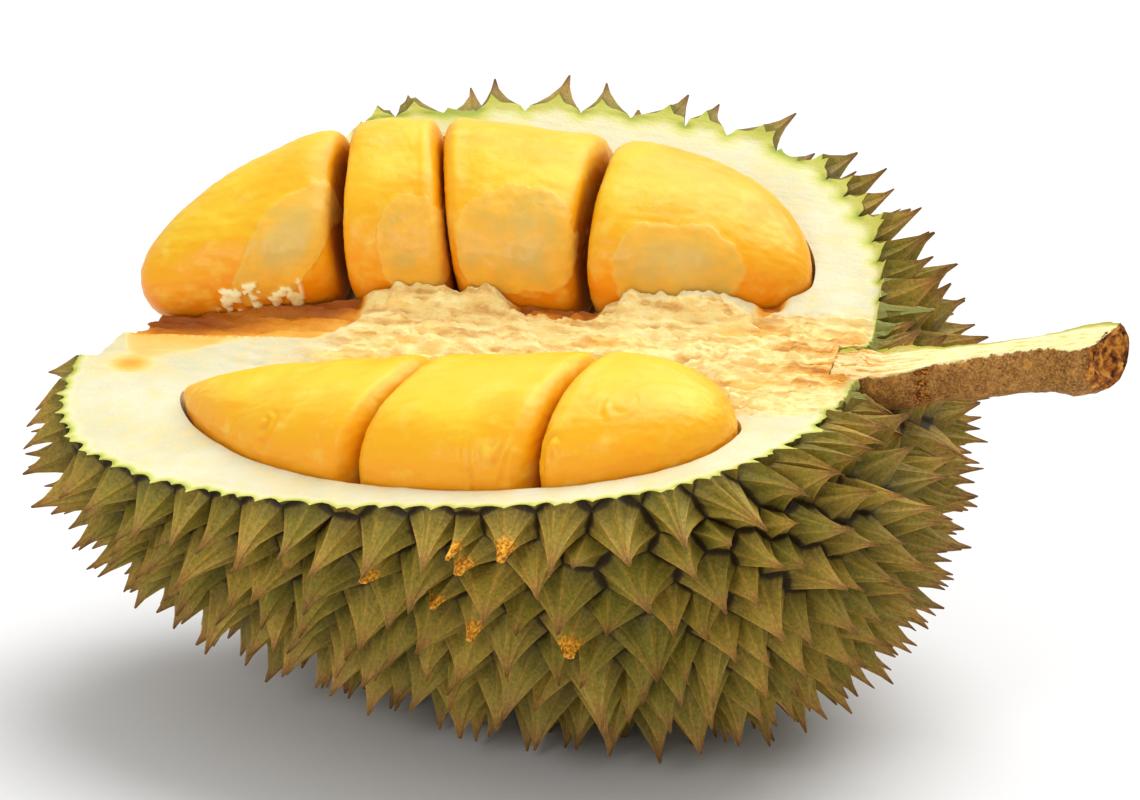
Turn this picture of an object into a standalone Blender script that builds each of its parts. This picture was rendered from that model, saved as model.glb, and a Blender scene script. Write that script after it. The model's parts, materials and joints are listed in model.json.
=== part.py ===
"""An opened durian at its real size, lying on its spines with the stem towards +X.

About two fifths of the husk has been split away from the top, so that two chambers lie open,
one on each side of the core. The front chamber holds three segments of pulp and the back chamber four.
Lengths are in metres and +Z is up. Angles are measured round the stem's axis, in radians:
0 points to the front (-Y), a quarter turn points up and half a turn points to the back.
"""

import bisect
import math
import random

import bmesh
import bpy
from mathutils import Matrix, Vector

# The husk's body, measured on the skin between the spines.
HALF_LENGTH = 0.1165
HALF_WIDTH = 0.098
MIDDLE_X = 0.0015
END_POWER = 2.27
SIDE_POWER = 2.95
STEM_END_FULLNESS = 0.18
BACK_RISE = 0.0125
END_DRAWN_IN = 0.012
LOW_BULGE = 0.0045
DRAWN_IN_SLOPE = 0.3

# How the fruit lies: its stem end is tipped up, and its lowest spines are worn flat on the table.
AXIS_TILT = math.radians(2.5)
AXIS_HEIGHT = 0.0985

# Spines.
SPINE_SPACING = 0.0132
END_CROWDING = 0.6
SPINE_LENGTH = 0.0160
LENGTH_SPREAD = 0.12
PLACE_SPREAD = 0.26
LEAN_SPREAD = 0.14
LEAN_TO_ENDS = 0.16
SUTURE_LEAN = 0.5
BACK_SUTURE_LEAN = 0.25
OPENED_LEAN = 0.7
BACK_SUTURE_LENGTH = 1.15
FURROW_SHARE = 0.5
BACK_FURROW_SHIFT = 0.003
SEED = 11
BARE_STEM_RING = 0.0125
CROWDED_STEM_RING = 0.024

# The two cuts that open the fruit, both through the core. Each turns a little along the fruit.
FRONT_CUT = math.radians(-7.0)
FRONT_TWIST = math.radians(7.2)
BACK_CUT = math.radians(151.7)
BACK_TWIST = math.radians(10.7)
CORE_RISE = 0.004
CORE_HALF_WIDTH = 0.016
BACK_RIM_BEND = math.radians(16.0)

# The tip of the next valve has broken off behind the back chamber's left end.
BREAK_EDGE = 0.008
BREAK_FROM = math.radians(25.0)
BREAK_TO = math.radians(222.0)
BREAK_FACING = math.radians(187.0)
BREAK_CORE_X = -0.103
BREAK_SLOPE = 0.7

# The pulp in the chambers.
SECTION_POWER = 2.3
JOINT_POWER = 8.0
OPEN_SIDE_POWER = 12.0
PULP_GAP = 0.0009
CHAMBER_CLEARANCE = 0.0006

# The stem.
STEM_RADIUS = 0.0075
COLLAR_RADIUS = 0.0098
KNOB_RADIUS = 0.0102
STEM_SIDES = 16
SOCKET_GAP = 0.0003

REACH = 0.2


def outward(angle):
    """The unit vector from the stem's axis at this angle round it."""
    return Vector((0, -math.cos(angle), math.sin(angle)))


def skin_radius(x, angle):
    """The distance from the stem's axis to the skin between the spines."""
    along = max(-1.0, min(1.0, (x - MIDDLE_X) / HALF_LENGTH))
    rounding = max(0.0, 1 - abs(along) ** END_POWER) ** (1 / SIDE_POWER)
    radius = HALF_WIDTH * rounding * (1 + STEM_END_FULLNESS * along)
    rise = BACK_RISE * (1 - along * along)
    across = rise * math.cos(angle)
    return rise * math.sin(angle) + math.sqrt(max(0.0, radius * radius - across * across))


def eased(value, start, end):
    """0 before start, 1 after end, smooth between them."""
    share = min(1.0, max(0.0, (value - start) / (end - start)))
    return share * share * (3 - 2 * share)


def on_skin(x, angle):
    """A point of the skin. The stem's end is drawn in at the level of the cuts, and the underside bulges past it."""
    point = Vector((x, 0, 0)) + outward(angle) * skin_radius(x, angle)
    over_cut = point.z - max(0.0, point.y) * DRAWN_IN_SLOPE
    drawn_in = (END_DRAWN_IN + LOW_BULGE) * eased(over_cut, -0.024, 0.0) - LOW_BULGE
    point.x -= drawn_in * eased((x - MIDDLE_X) / HALF_LENGTH, 0.4, 1.0)
    return point


def front_cut(x):
    return FRONT_CUT + FRONT_TWIST * (x - MIDDLE_X) / HALF_LENGTH


def back_cut(x):
    return BACK_CUT + BACK_TWIST * (x - MIDDLE_X) / HALF_LENGTH


# ---------------------------------------------------------------- materials and objects


def finish(name, color, roughness):
    """A Principled BSDF material."""
    material = bpy.data.materials.new(name)
    material.use_nodes = True
    shader = material.node_tree.nodes["Principled BSDF"]
    shader.inputs["Base Color"].default_value = (*color, 1)
    shader.inputs["Roughness"].default_value = roughness
    material.diffuse_color = (*color, 1)
    return material


def face_outwards(bm):
    """Turns the faces of a closed bmesh so that they all point out of it."""
    bmesh.ops.recalc_face_normals(bm, faces=bm.faces)
    if bm.calc_volume(signed=True) < 0:
        bmesh.ops.reverse_faces(bm, faces=bm.faces)


def add_object(name, bm, collection, material=None):
    """An object made from a bmesh, placed in the fruit's own frame by its parent empty."""
    mesh = bpy.data.meshes.new(name)
    bm.to_mesh(mesh)
    bm.free()
    if material:
        mesh.materials.append(material)
    thing = bpy.data.objects.new(name, mesh)
    collection.objects.link(thing)
    thing.parent = fruit_frame
    return thing


def add_cutter(name, bm):
    thing = add_object(name, bm, cutters)
    thing.hide_render = True
    thing.display_type = "WIRE"
    return thing


def loft(rings):
    """A closed bmesh through rings that all have the same number of points, capped at both ends."""
    bm = bmesh.new()
    rows = [[bm.verts.new(point) for point in ring] for ring in rings]
    for row, following in zip(rows, rows[1:]):
        for i in range(len(row)):
            j = (i + 1) % len(row)
            bm.faces.new((row[i], row[j], following[j], following[i]))
    bm.faces.new(rows[0])
    bm.faces.new(rows[-1])
    face_outwards(bm)
    return bm


def cut(thing, cutter):
    modifier = thing.modifiers.new(cutter.name, "BOOLEAN")
    modifier.operation = "DIFFERENCE"
    modifier.solver = "MANIFOLD"
    modifier.object = cutter


# ---------------------------------------------------------------- the spiny husk


def skin_table():
    """Stations along the fruit, and the share of the spines that lies to the left of each: they crowd to the ends."""
    stations = [MIDDLE_X - HALF_LENGTH * math.cos(math.pi * i / 400) for i in range(401)]
    radii = [skin_radius(x, 0.0) for x in stations]
    areas = [0.0]
    for i in range(400):
        band = math.hypot(stations[i + 1] - stations[i], radii[i + 1] - radii[i])
        crowding = 1 + END_CROWDING * ((stations[i] - MIDDLE_X) / HALF_LENGTH) ** 2
        areas.append(areas[-1] + math.pi * (radii[i] + radii[i + 1]) * band * crowding)
    return stations, [area / areas[-1] for area in areas], areas[-1]


STATIONS, SHARES, SKIN_AREA = skin_table()


def from_ball(point):
    """The place on the skin that matches a point of a ball, when equal shares of the two match."""
    share = min(1.0, max(0.0, (point.normalized().x + 1) / 2))
    k = min(len(SHARES) - 2, max(0, bisect.bisect_right(SHARES, share) - 1))
    part = (share - SHARES[k]) / (SHARES[k + 1] - SHARES[k])
    x = STATIONS[k] + part * (STATIONS[k + 1] - STATIONS[k])
    return on_skin(x, math.atan2(point.z, -point.y))


def beside_furrows(point):
    """A place on the ball moved off the two cuts, so that each cut runs in the furrow between two rows of spines."""
    place = from_ball(point)
    radius, angle = math.hypot(place.y, place.z), math.atan2(point.z, -point.y)
    for suture, shift in ((front_cut, 0.0), (back_cut, BACK_FURROW_SHIFT)):
        off = (angle - suture(place.x)) * radius + shift
        if abs(off) < FURROW_SHARE * SPINE_SPACING:
            angle += (math.copysign(FURROW_SHARE * SPINE_SPACING, off) - off) / max(radius, SPINE_SPACING)
    return Vector((point.x, 0, 0)) + outward(angle) * math.hypot(point.y, point.z)


def spine_ball():
    """A bmesh ball with one vertex for each spine: a golden-angle spiral, each place nudged a little."""
    dice = random.Random(SEED)
    count = round(SKIN_AREA / (SPINE_SPACING**2 * math.sqrt(3) / 2))
    nudge = PLACE_SPREAD * math.sqrt(4 * math.pi / count)
    bm = bmesh.new()
    for i in range(count):
        x = -1 + 2 * (i + 0.5) / count
        angle = i * math.pi * (3 - math.sqrt(5))
        point = Vector((x, 0, 0)) + outward(angle) * math.sqrt(1 - x * x)
        point += Vector([dice.uniform(-nudge, nudge) for _ in range(3)])
        bm.verts.new(beside_furrows(point.normalized()))
    bmesh.ops.convex_hull(bm, input=list(bm.verts))
    return bm


def spine_tip(root, normal, width, dice):
    """Where the spine on this root ends. Spines lean a little towards the fruit's nearer end."""
    end_share = (root.x - MIDDLE_X) / HALF_LENGTH
    lean = Vector((LEAN_TO_ENDS * end_share * abs(end_share), 0, 0))
    lean += Vector([dice.uniform(-LEAN_SPREAD, LEAN_SPREAD) for _ in range(3)])
    from_axis = math.hypot(root.y, root.z)
    length = SPINE_LENGTH * dice.uniform(1 - LENGTH_SPREAD, 1 + LENGTH_SPREAD)
    length *= min(1.1, max(0.9, width / SPINE_SPACING))
    below = (front_cut(root.x) - math.atan2(root.z, -root.y)) * from_axis
    if -SPINE_SPACING < below < SPINE_SPACING:
        away = outward(math.atan2(root.z, -root.y) - math.pi / 2)
        lean += away * SUTURE_LEAN * (1 - abs(below) / SPINE_SPACING)
        length *= 0.5 if below < 0 else 1.0
    beyond = (math.atan2(root.z, -root.y) - back_cut(root.x)) * from_axis
    if abs(beyond) < SPINE_SPACING:
        to_opening = outward(math.atan2(root.z, -root.y) - math.pi / 2)
        lean += to_opening * (BACK_SUTURE_LEAN * (1 - beyond / SPINE_SPACING) if beyond > 0 else OPENED_LEAN)
        length *= BACK_SUTURE_LENGTH
    if root.x > MIDDLE_X and from_axis < CROWDED_STEM_RING:
        lean = Vector((0, root.y, root.z)) / max(from_axis, 0.001) * 0.6
        length *= 0.75
    if root.x > MIDDLE_X and from_axis < BARE_STEM_RING:
        return root + normal * 0.001
    return root + (normal + lean).normalized() * length


def spiny_body():
    """The whole fruit's outside: each spine's cell of skin rises to its tip."""
    dice = random.Random(SEED + 1)
    ball = spine_ball()
    bm = bmesh.new()
    corners = {face: bm.verts.new(from_ball(face.calc_center_median())) for face in ball.faces}
    for vert in ball.verts:
        vert.co = from_ball(vert.co)
    face_outwards(ball)
    ball.normal_update()
    for root in ball.verts:
        side = root.normal.orthogonal().normalized()
        other = root.normal.cross(side)

        def turn(face):
            step = corners[face].co - root.co
            return math.atan2(step.dot(other), step.dot(side))

        cell = bm.faces.new([corners[face] for face in sorted(root.link_faces, key=turn)])
        width = 2 * math.sqrt(cell.calc_area() / math.pi)
        tip = spine_tip(root.co, root.normal, width, dice)
        poked = bmesh.ops.poke(bm, faces=[cell])
        poked["verts"][0].co = tip
    ball.free()
    face_outwards(bm)
    return bm


def rim_radius(x, angle):
    """The distance from the stem's axis to the skin at a cut."""
    station = x
    for _ in range(4):
        station = x + END_DRAWN_IN * eased((station - MIDDLE_X) / HALF_LENGTH, 0.4, 1.0)
    return max(1.5 * CORE_HALF_WIDTH, skin_radius(station, angle))


def opening_cutter():
    """What was split away: all that lies between the front cut and the back cut, above a low ridge at the core.

    Outside the skin the back cut bends away, so that the spines behind the back rim stay whole.
    """
    rings = []
    for i in range(-16, 17):
        x = MIDDLE_X + 2 * HALF_LENGTH * i / 16
        bounded = max(-HALF_LENGTH, min(HALF_LENGTH, x - MIDDLE_X)) + MIDDLE_X
        low, high = front_cut(bounded), back_cut(bounded)
        middle = (low + high) / 2
        ring = [Vector((x, 0, 0)) + outward(middle) * CORE_RISE]
        ring.append(Vector((x, 0, 0)) + outward(low) * CORE_HALF_WIDTH)
        ring += [Vector((x, 0, 0)) + outward(low + (high - low) * j / 6) * REACH for j in range(6)]
        rim = Vector((x, 0, 0)) + outward(high) * rim_radius(x, high)
        ring.append(rim + outward(high - BACK_RIM_BEND) * REACH)
        ring.append(rim)
        ring.append(Vector((x, 0, 0)) + outward(high) * CORE_HALF_WIDTH)
        rings.append(ring)
    bm = loft(rings)
    # The cuts twist, so their four-sided faces are split along the diagonal that makes the cutter bulge.
    bm.verts.ensure_lookup_table()
    size = len(rings[0])
    for i in range(len(rings) - 1):
        here, following = i * size, (i + 1) * size
        for one, other in ((here + 2, following + 1), (here + size - 2, following + size - 3),
                           (here + size - 1, following + size - 2)):
            bmesh.ops.connect_verts(bm, verts=[bm.verts[one], bm.verts[other]])
    return bm


def break_cutter():
    """The broken-off tip: a wedge of the fruit between two sutures, left of a slanting break."""
    edge = outward(front_cut(-HALF_LENGTH)) * BREAK_EDGE
    facing = outward(BREAK_FACING)
    sweep = [BREAK_FROM + (BREAK_TO - BREAK_FROM) * j / 6 for j in range(7)]
    section = [edge] + [edge + outward(angle) * REACH for angle in sweep]
    far = [point + Vector((-REACH, 0, 0)) for point in section]
    near = [point + Vector((BREAK_CORE_X + BREAK_SLOPE * point.dot(facing), 0, 0)) for point in section]
    return loft([far, near])


# ---------------------------------------------------------------- chambers and pulp

# Each chamber: its cut's angle at x and the way its pulp stands out of the cut; then where the pulp is
# widest, with its middle's distance from the axis, its half height and its half thickness there; then how
# each end tapers, as two powers, the end's distance from the axis and the power of the way there; then its
# segments' ends in x, with the slant of the joint at each. A slant is how far the joint runs towards +X
# from the pulp's middle to the rim.
CHAMBERS = {
    "front": {
        "angle": front_cut,
        "turn": 1,
        "widest": (0.030, 0.0560, 0.0325, 0.0200),
        "left_taper": (1.8, 1.5, 0.027, 1.0),
        "right_taper": (3.2, 1.6, 0.053, 1.0),
        "ends": (-0.0775, -0.0050, 0.0420, 0.0840),
        "slants": (0.0, -0.008, -0.004, 0.0),
    },
    "back": {
        "angle": back_cut,
        "turn": -1,
        "widest": (0.005, 0.0555, 0.0318, 0.0215),
        "left_taper": (3.5, 2.0, 0.024, 3.0),
        "right_taper": (2.8, 1.9, 0.040, 1.0),
        "ends": (-0.1060, -0.0500, -0.0215, 0.0225, 0.0850),
        "slants": (0.0, -0.0045, -0.008, 0.000, 0.0),
    },
}


def squared(cosine, power):
    """A cosine or sine bent so that a circle becomes a superellipse."""
    return math.copysign(abs(cosine) ** (2 / power), cosine)


def pulp_section(x, chamber):
    """(distance of the middle from the axis, half height, half thickness) of the pulp across the fruit at x."""
    widest_x, middle, height, thickness = chamber["widest"]
    left = x < widest_x
    end = chamber["ends"][0 if left else -1]
    near_power, far_power, end_middle, way = chamber["left_taper" if left else "right_taper"]
    share = min(1.0, (x - widest_x) / (end - widest_x))
    full = (1 - share**near_power) ** (1 / far_power)
    middle = end_middle + (middle - end_middle) * full**way
    return middle, height * full, thickness * full**0.8


def pulp_ball(chamber, first, last, grown=0.0, turned=0.0, along=14, around=18):
    """A ball drawn out to fill the chamber between two of its joints. grown makes it larger all round.

    A grown one is a hollow: its sides run straight out through the cut, and turned shifts its points round it,
    so that none of its edges lies in the cut.
    """
    ends, slants = chamber["ends"], chamber["slants"]
    outermost = len(ends) - 1
    left = ends[first] + (PULP_GAP / 2 if first else 0)
    right = ends[last] - (PULP_GAP / 2 if last < outermost else 0)
    bm = bmesh.new()
    bmesh.ops.create_uvsphere(bm, u_segments=around, v_segments=along, radius=1.0)
    for vert in bm.verts:
        turn = math.atan2(vert.co.y, vert.co.x) + turned
        share, swell = vert.co.z, 1.0
        if (share < 0 and first) or (share > 0 and last < outermost):
            across = math.hypot(vert.co.x, vert.co.y)
            boxed = (abs(share) ** JOINT_POWER + across**JOINT_POWER) ** (-1 / JOINT_POWER)
            share, swell = share * boxed, across * boxed
        power = OPEN_SIDE_POWER if grown and math.sin(turn) > 0 else SECTION_POWER
        up = squared(math.cos(turn), power) * swell
        out = squared(math.sin(turn), power) * swell
        slant = slants[first] + (slants[last] - slants[first]) * (share + 1) / 2
        x = (left + right) / 2 + share * (right - left) / 2 + slant * up
        middle, height, thickness = pulp_section(x, chamber)
        angle = chamber["angle"](x)
        place = Vector((x + grown * share, 0, 0))
        place += outward(angle) * (middle + up * (height + grown))
        place += outward(angle + chamber["turn"] * math.pi / 2) * (out * (thickness + grown))
        vert.co = place
    face_outwards(bm)
    return bm


# ---------------------------------------------------------------- the stem

# Along the stem: x, how far the middle has risen, and the radius.
STEM_STATIONS = (
    (0.0990, 0.0000, 0.0080),
    (0.1070, 0.0000, COLLAR_RADIUS),
    (0.1180, 0.0002, COLLAR_RADIUS),
    (0.1255, 0.0006, 0.0084),
    (0.1275, 0.0008, 0.0076),
    (0.1300, 0.0010, 0.0079),
    (0.1420, 0.0024, STEM_RADIUS),
    (0.1510, 0.0040, STEM_RADIUS),
    (0.1580, 0.0053, 0.0083),
    (0.1635, 0.0063, KNOB_RADIUS),
    (0.1690, 0.0071, KNOB_RADIUS),
    (0.1722, 0.0075, 0.0088),
    (0.1727, 0.0075, 0.0066),
    (0.1704, 0.0075, 0.0048),
)
KNOB_START = 0.1560
KNOB_END = 0.1727
KNOB_SLANT = math.tan(math.radians(24.0))
SLICE_START = Vector((0.1045, 0, 0.0022))
SLICE_END = Vector((0.1610, 0, 0.0122))
SLICE_ROLL = math.radians(9.0)


def stem_ring(x, rise, radius):
    """A ring of the stem. The knob's end is slanted so that it faces a little to the front."""
    slant = KNOB_SLANT * max(0.0, min(1.0, (x - KNOB_START) / (KNOB_END - KNOB_START)))
    ring = []
    for i in range(STEM_SIDES):
        offset = outward(2 * math.pi * i / STEM_SIDES) * radius
        ring.append(Vector((x + slant * offset.y, 0, rise)) + offset)
    return ring


def slice_cutter():
    """The knife's cut along the top of the stem, from the core out to the knob."""
    along = (SLICE_END - SLICE_START).normalized()
    across = Vector((0, math.cos(SLICE_ROLL), math.sin(SLICE_ROLL)))
    up = along.cross(across).normalized()
    rings = []
    for distance in (-0.03, (SLICE_END - SLICE_START).length + 0.03):
        middle = SLICE_START + along * distance
        ring = [middle + across * side + up * height
                for side, height in ((-0.03, 0), (0.03, 0), (0.03, 0.03), (-0.03, 0.03))]
        rings.append(ring)
    return loft(rings)


def socket_cutter():
    """The hole in the husk that the foot of the stem grows out of."""
    foot, collar = STEM_STATIONS[0], STEM_STATIONS[1]
    rings = []
    for x, radius in ((foot[0] - SOCKET_GAP, foot[2]), (collar[0], collar[2]), (REACH, collar[2])):
        rings.append([Vector((x, 0, 0)) + outward(2 * math.pi * i / STEM_SIDES) * (radius + SOCKET_GAP)
                      for i in range(STEM_SIDES)])
    return loft(rings)


# ---------------------------------------------------------------- assembly

for leftover in list(bpy.data.objects):
    bpy.data.objects.remove(leftover)

durian = bpy.data.collections.new("durian")
cutters = bpy.data.collections.new("cutters")
for group in (durian, cutters):
    bpy.context.scene.collection.children.link(group)

fruit_frame = bpy.data.objects.new("fruit_frame", None)
durian.objects.link(fruit_frame)
fruit_frame.rotation_euler = (0, -AXIS_TILT, 0)
fruit_frame.location = (0, 0, AXIS_HEIGHT)

rind_green = finish("rind_green", (0.21, 0.20, 0.06), 0.6)
pulp_yellow = finish("pulp_yellow", (0.95, 0.62, 0.06), 0.45)
bark_brown = finish("bark_brown", (0.33, 0.20, 0.09), 0.85)

husk = add_object("husk", spiny_body(), durian, rind_green)
cut(husk, add_cutter("opening_cutter", opening_cutter()))
cut(husk, add_cutter("break_cutter", break_cutter()))
cut(husk, add_cutter("socket_cutter", socket_cutter()))

for side, chamber in CHAMBERS.items():
    segments = len(chamber["ends"]) - 1
    for i in range(segments):
        segment = add_object(f"{side}_segment_{i + 1}", pulp_ball(chamber, i, i + 1), durian, pulp_yellow)
        segment.data.shade_smooth()
    hollow = pulp_ball(chamber, 0, segments, grown=CHAMBER_CLEARANCE, turned=math.radians(3.0), along=32)
    cut(husk, add_cutter(f"{side}_hollow", hollow))

stem = add_object("stem", loft([stem_ring(*station) for station in STEM_STATIONS]), durian, bark_brown)
cut(stem, add_cutter("slice_cutter", slice_cutter()))

# The table: what would reach below it is worn flat.
table_bm = bmesh.new()
bmesh.ops.create_cube(table_bm, size=1.0, matrix=Matrix.Translation((0, 0, -0.5)))
table = add_cutter("table_cutter", table_bm)
table.parent = None
cut(husk, table)


def bounds():
    """The lowest and highest corner of the whole fruit in the world."""
    graph = bpy.context.evaluated_depsgraph_get()
    points = []
    for thing in durian.objects:
        if thing.type == "MESH":
            evaluated = thing.evaluated_get(graph)
            points += [evaluated.matrix_world @ vert.co for vert in evaluated.data.vertices]
    low = Vector(min(point[axis] for point in points) for axis in range(3))
    high = Vector(max(point[axis] for point in points) for axis in range(3))
    return low, high


# The origin is on the table, under the middle of the fruit's box.
bpy.context.view_layer.update()
lowest, highest = bounds()
fruit_frame.location -= Vector(((lowest.x + highest.x) / 2, (lowest.y + highest.y) / 2, 0))
bpy.context.view_layer.update()
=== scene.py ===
# %% [markdown]
# # An opened durian
# This lesson dresses a durian that lies on its spines with its stem to the right. About two fifths of the
# husk has been split away, so that two chambers of yellow pulp show. A fixed model of the fruit already
# exists: a plain solid for the husk, for each segment of pulp and for the stem. Here each solid gets a
# finer piece that keeps its form, and each piece gets its finish. Lengths are in metres, +Z is up and
# the front faces -Y.

import bpy
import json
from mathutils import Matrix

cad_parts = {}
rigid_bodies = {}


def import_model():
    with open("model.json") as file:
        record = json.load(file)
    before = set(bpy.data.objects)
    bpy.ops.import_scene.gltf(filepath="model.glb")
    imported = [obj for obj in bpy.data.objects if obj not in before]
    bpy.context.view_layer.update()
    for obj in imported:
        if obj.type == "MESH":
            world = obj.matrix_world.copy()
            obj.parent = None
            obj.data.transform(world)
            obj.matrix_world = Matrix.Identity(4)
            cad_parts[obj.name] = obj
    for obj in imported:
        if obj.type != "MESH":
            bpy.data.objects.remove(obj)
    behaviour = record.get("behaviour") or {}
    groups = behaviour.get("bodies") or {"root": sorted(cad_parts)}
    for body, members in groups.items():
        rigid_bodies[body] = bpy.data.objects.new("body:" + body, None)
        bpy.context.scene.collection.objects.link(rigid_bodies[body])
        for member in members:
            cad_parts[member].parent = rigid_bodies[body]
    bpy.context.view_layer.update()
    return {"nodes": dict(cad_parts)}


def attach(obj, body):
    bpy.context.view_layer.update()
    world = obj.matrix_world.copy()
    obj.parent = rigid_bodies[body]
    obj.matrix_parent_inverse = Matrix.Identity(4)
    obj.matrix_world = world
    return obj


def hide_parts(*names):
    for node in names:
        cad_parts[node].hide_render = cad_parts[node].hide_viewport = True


for leftover in list(bpy.data.objects):
    bpy.data.objects.remove(leftover)
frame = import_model()
print("solids:", ", ".join(sorted(frame["nodes"])))

# %% Tools for the lesson
import bisect
import json
import math
import random

import bmesh
import numpy as np
from mathutils import Matrix, Vector, noise
from mathutils.bvhtree import BVHTree


def add_object(name, data):
    thing = bpy.data.objects.new(name, data)
    bpy.context.scene.collection.objects.link(thing)
    return thing


def mesh_of(bm, name):
    """A finished bmesh as a plain mesh."""
    mesh = bpy.data.meshes.new(name)
    bm.to_mesh(mesh)
    bm.free()
    return mesh


def numbers(things, name, width=1, kind=np.float32):
    """One property of many things, such as vertices, as an array with a row for each."""
    values = np.zeros(len(things) * width, kind)
    things.foreach_get(name, values)
    return values.reshape(-1, width).astype(float) if width > 1 else values


print("Blender", bpy.app.version_string)

# %% [markdown]
# ## The fruit's own frame
# A durian is drawn most easily round its own axis, from the blossom end to the stem. The fruit lies tipped
# by a few degrees, so every shape below is made with the axis along X, and one matrix then lays it on
# the table. The matrix goes into the mesh itself, and the objects stay at the origin.

# %% The axis and the angles round it
AXIS_TILT = math.radians(2.5)
AXIS_PLACE = Vector((-0.02368499, -0.00253651, 0.0985))
FRUIT = Matrix.Translation(AXIS_PLACE) @ Matrix.Rotation(-AXIS_TILT, 4, "Y")


def outward(angle):
    """The unit vector from the axis at this angle round it: 0 is the front, a quarter turn is up."""
    return Vector((0, -math.cos(angle), math.sin(angle)))


def outwards(angle):
    """The same for a whole array of angles, as rows of x, y and z."""
    return np.stack([np.zeros_like(angle), -np.cos(angle), np.sin(angle)], -1)


def at(x, angle, radius):
    """The point this far from the axis."""
    return Vector((x, 0, 0)) + outward(angle) * radius


def angle_at(point):
    return math.atan2(point.z, -point.y)


def angle_of(points):
    return np.arctan2(points[:, 2], -points[:, 1])


print("the axis crosses the fruit's middle at", tuple(round(c, 4) for c in AXIS_PLACE))

# %% [markdown]
# ## The skin
# Between its spines the husk is a plain rounded body, fuller at the stem end. A formula gives the
# distance from the axis to the skin for any place along the fruit and any angle round it. Two more give
# the angles of the two cuts that opened the fruit. Everything on the husk is measured from these.

# %% The skin and the two cuts as formulas
HALF_LENGTH = 0.1165
HALF_WIDTH = 0.098
MIDDLE_X = 0.0015
END_POWER = 2.27
SIDE_POWER = 2.95
STEM_END_FULLNESS = 0.18
BACK_RISE = 0.0125
END_DRAWN_IN = 0.012
LOW_BULGE = 0.0045
DRAWN_IN_SLOPE = 0.3
# The angle of each cut at the fruit's middle, and how far it turns from there to the stem.
FRONT_CUT, FRONT_CUT_TURN = math.radians(-7.0), math.radians(7.2)
BACK_CUT, BACK_CUT_TURN = math.radians(151.7), math.radians(10.7)


def skin_radius(x, angle):
    """The distance from the axis to the skin between the spines, for numbers or arrays."""
    along = np.clip((x - MIDDLE_X) / HALF_LENGTH, -1.0, 1.0)
    rounding = np.maximum(0.0, 1 - np.abs(along) ** END_POWER) ** (1 / SIDE_POWER)
    radius = HALF_WIDTH * rounding * (1 + STEM_END_FULLNESS * along)
    rise = BACK_RISE * (1 - along * along)
    across = rise * np.cos(angle)
    return rise * np.sin(angle) + np.sqrt(np.maximum(0.0, radius * radius - across * across))


def eased(value, start, end):
    """0 before start, 1 after end, smooth between them, for numbers or arrays."""
    share = np.clip((value - start) / (end - start), 0.0, 1.0)
    return share * share * (3 - 2 * share)


def window(value, opens, open_from, open_to, closes):
    """1 from open_from to open_to, and 0 before opens and after closes."""
    return eased(value, opens, open_from) * (1 - eased(value, open_to, closes))


def drawn_in(x, y, z):
    """How far the skin at the stem's end is drawn in. The underside bulges past it instead."""
    over_cut = z - np.maximum(0.0, y) * DRAWN_IN_SLOPE
    amount = (END_DRAWN_IN + LOW_BULGE) * eased(over_cut, -0.024, 0.0) - LOW_BULGE
    return amount * eased((x - MIDDLE_X) / HALF_LENGTH, 0.4, 1.0)


def on_skin(x, angle):
    point = at(x, angle, float(skin_radius(x, angle)))
    point.x -= float(drawn_in(x, point.y, point.z))
    return point


def skin_height(points):
    """How far each point of an array stands over the skin, measured from the axis."""
    x = points[:, 0].copy()
    for _ in range(4):
        x = points[:, 0] + drawn_in(x, points[:, 1], points[:, 2])
    return np.hypot(points[:, 1], points[:, 2]) - skin_radius(x, angle_of(points))


def front_cut(x):
    return FRONT_CUT + FRONT_CUT_TURN * (x - MIDDLE_X) / HALF_LENGTH


def back_cut(x):
    return BACK_CUT + BACK_CUT_TURN * (x - MIDDLE_X) / HALF_LENGTH


print("the skin is", round(1000 * float(skin_radius(MIDDLE_X, 0.0))), "mm from the axis at the front")

# %% [markdown]
# ## Where the spines stand
# Each spine fills its own cell of skin, and the cells share their borders like paving. A golden-angle
# spiral spreads the roots evenly over a ball, a little luck unsettles them, and the convex hull of the
# ball says which roots are neighbours. The ball is then drawn out to the skin, with the spines a little
# closer at both ends. A ripe durian splits along the furrow between two rows of spines, so roots keep
# clear of both cuts. The random numbers have fixed seeds, so every run grows the same fruit.

# %% Lay out the roots
SPINE_SPACING = 0.0132
END_CROWDING = 0.6
PLACE_SPREAD = 0.26
FURROW_SHARE = 0.5
BACK_FURROW_SHIFT = 0.003
SEED = 11


def skin_table():
    """Stations along the fruit, and the share of the spines that lies to the left of each."""
    stations = [MIDDLE_X - HALF_LENGTH * math.cos(math.pi * i / 400) for i in range(401)]
    radii = [float(skin_radius(x, 0.0)) for x in stations]
    areas = [0.0]
    for i in range(400):
        band = math.hypot(stations[i + 1] - stations[i], radii[i + 1] - radii[i])
        crowding = 1 + END_CROWDING * ((stations[i] - MIDDLE_X) / HALF_LENGTH) ** 2
        areas.append(areas[-1] + math.pi * (radii[i] + radii[i + 1]) * band * crowding)
    return stations, [area / areas[-1] for area in areas], areas[-1]


STATIONS, SHARES, SKIN_AREA = skin_table()


def from_ball(point):
    """The place on the skin that matches a point of a ball."""
    share = min(1.0, max(0.0, (point.normalized().x + 1) / 2))
    k = min(len(SHARES) - 2, max(0, bisect.bisect_right(SHARES, share) - 1))
    part = (share - SHARES[k]) / (SHARES[k + 1] - SHARES[k])
    x = STATIONS[k] + part * (STATIONS[k + 1] - STATIONS[k])
    return on_skin(x, angle_at(point))


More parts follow.
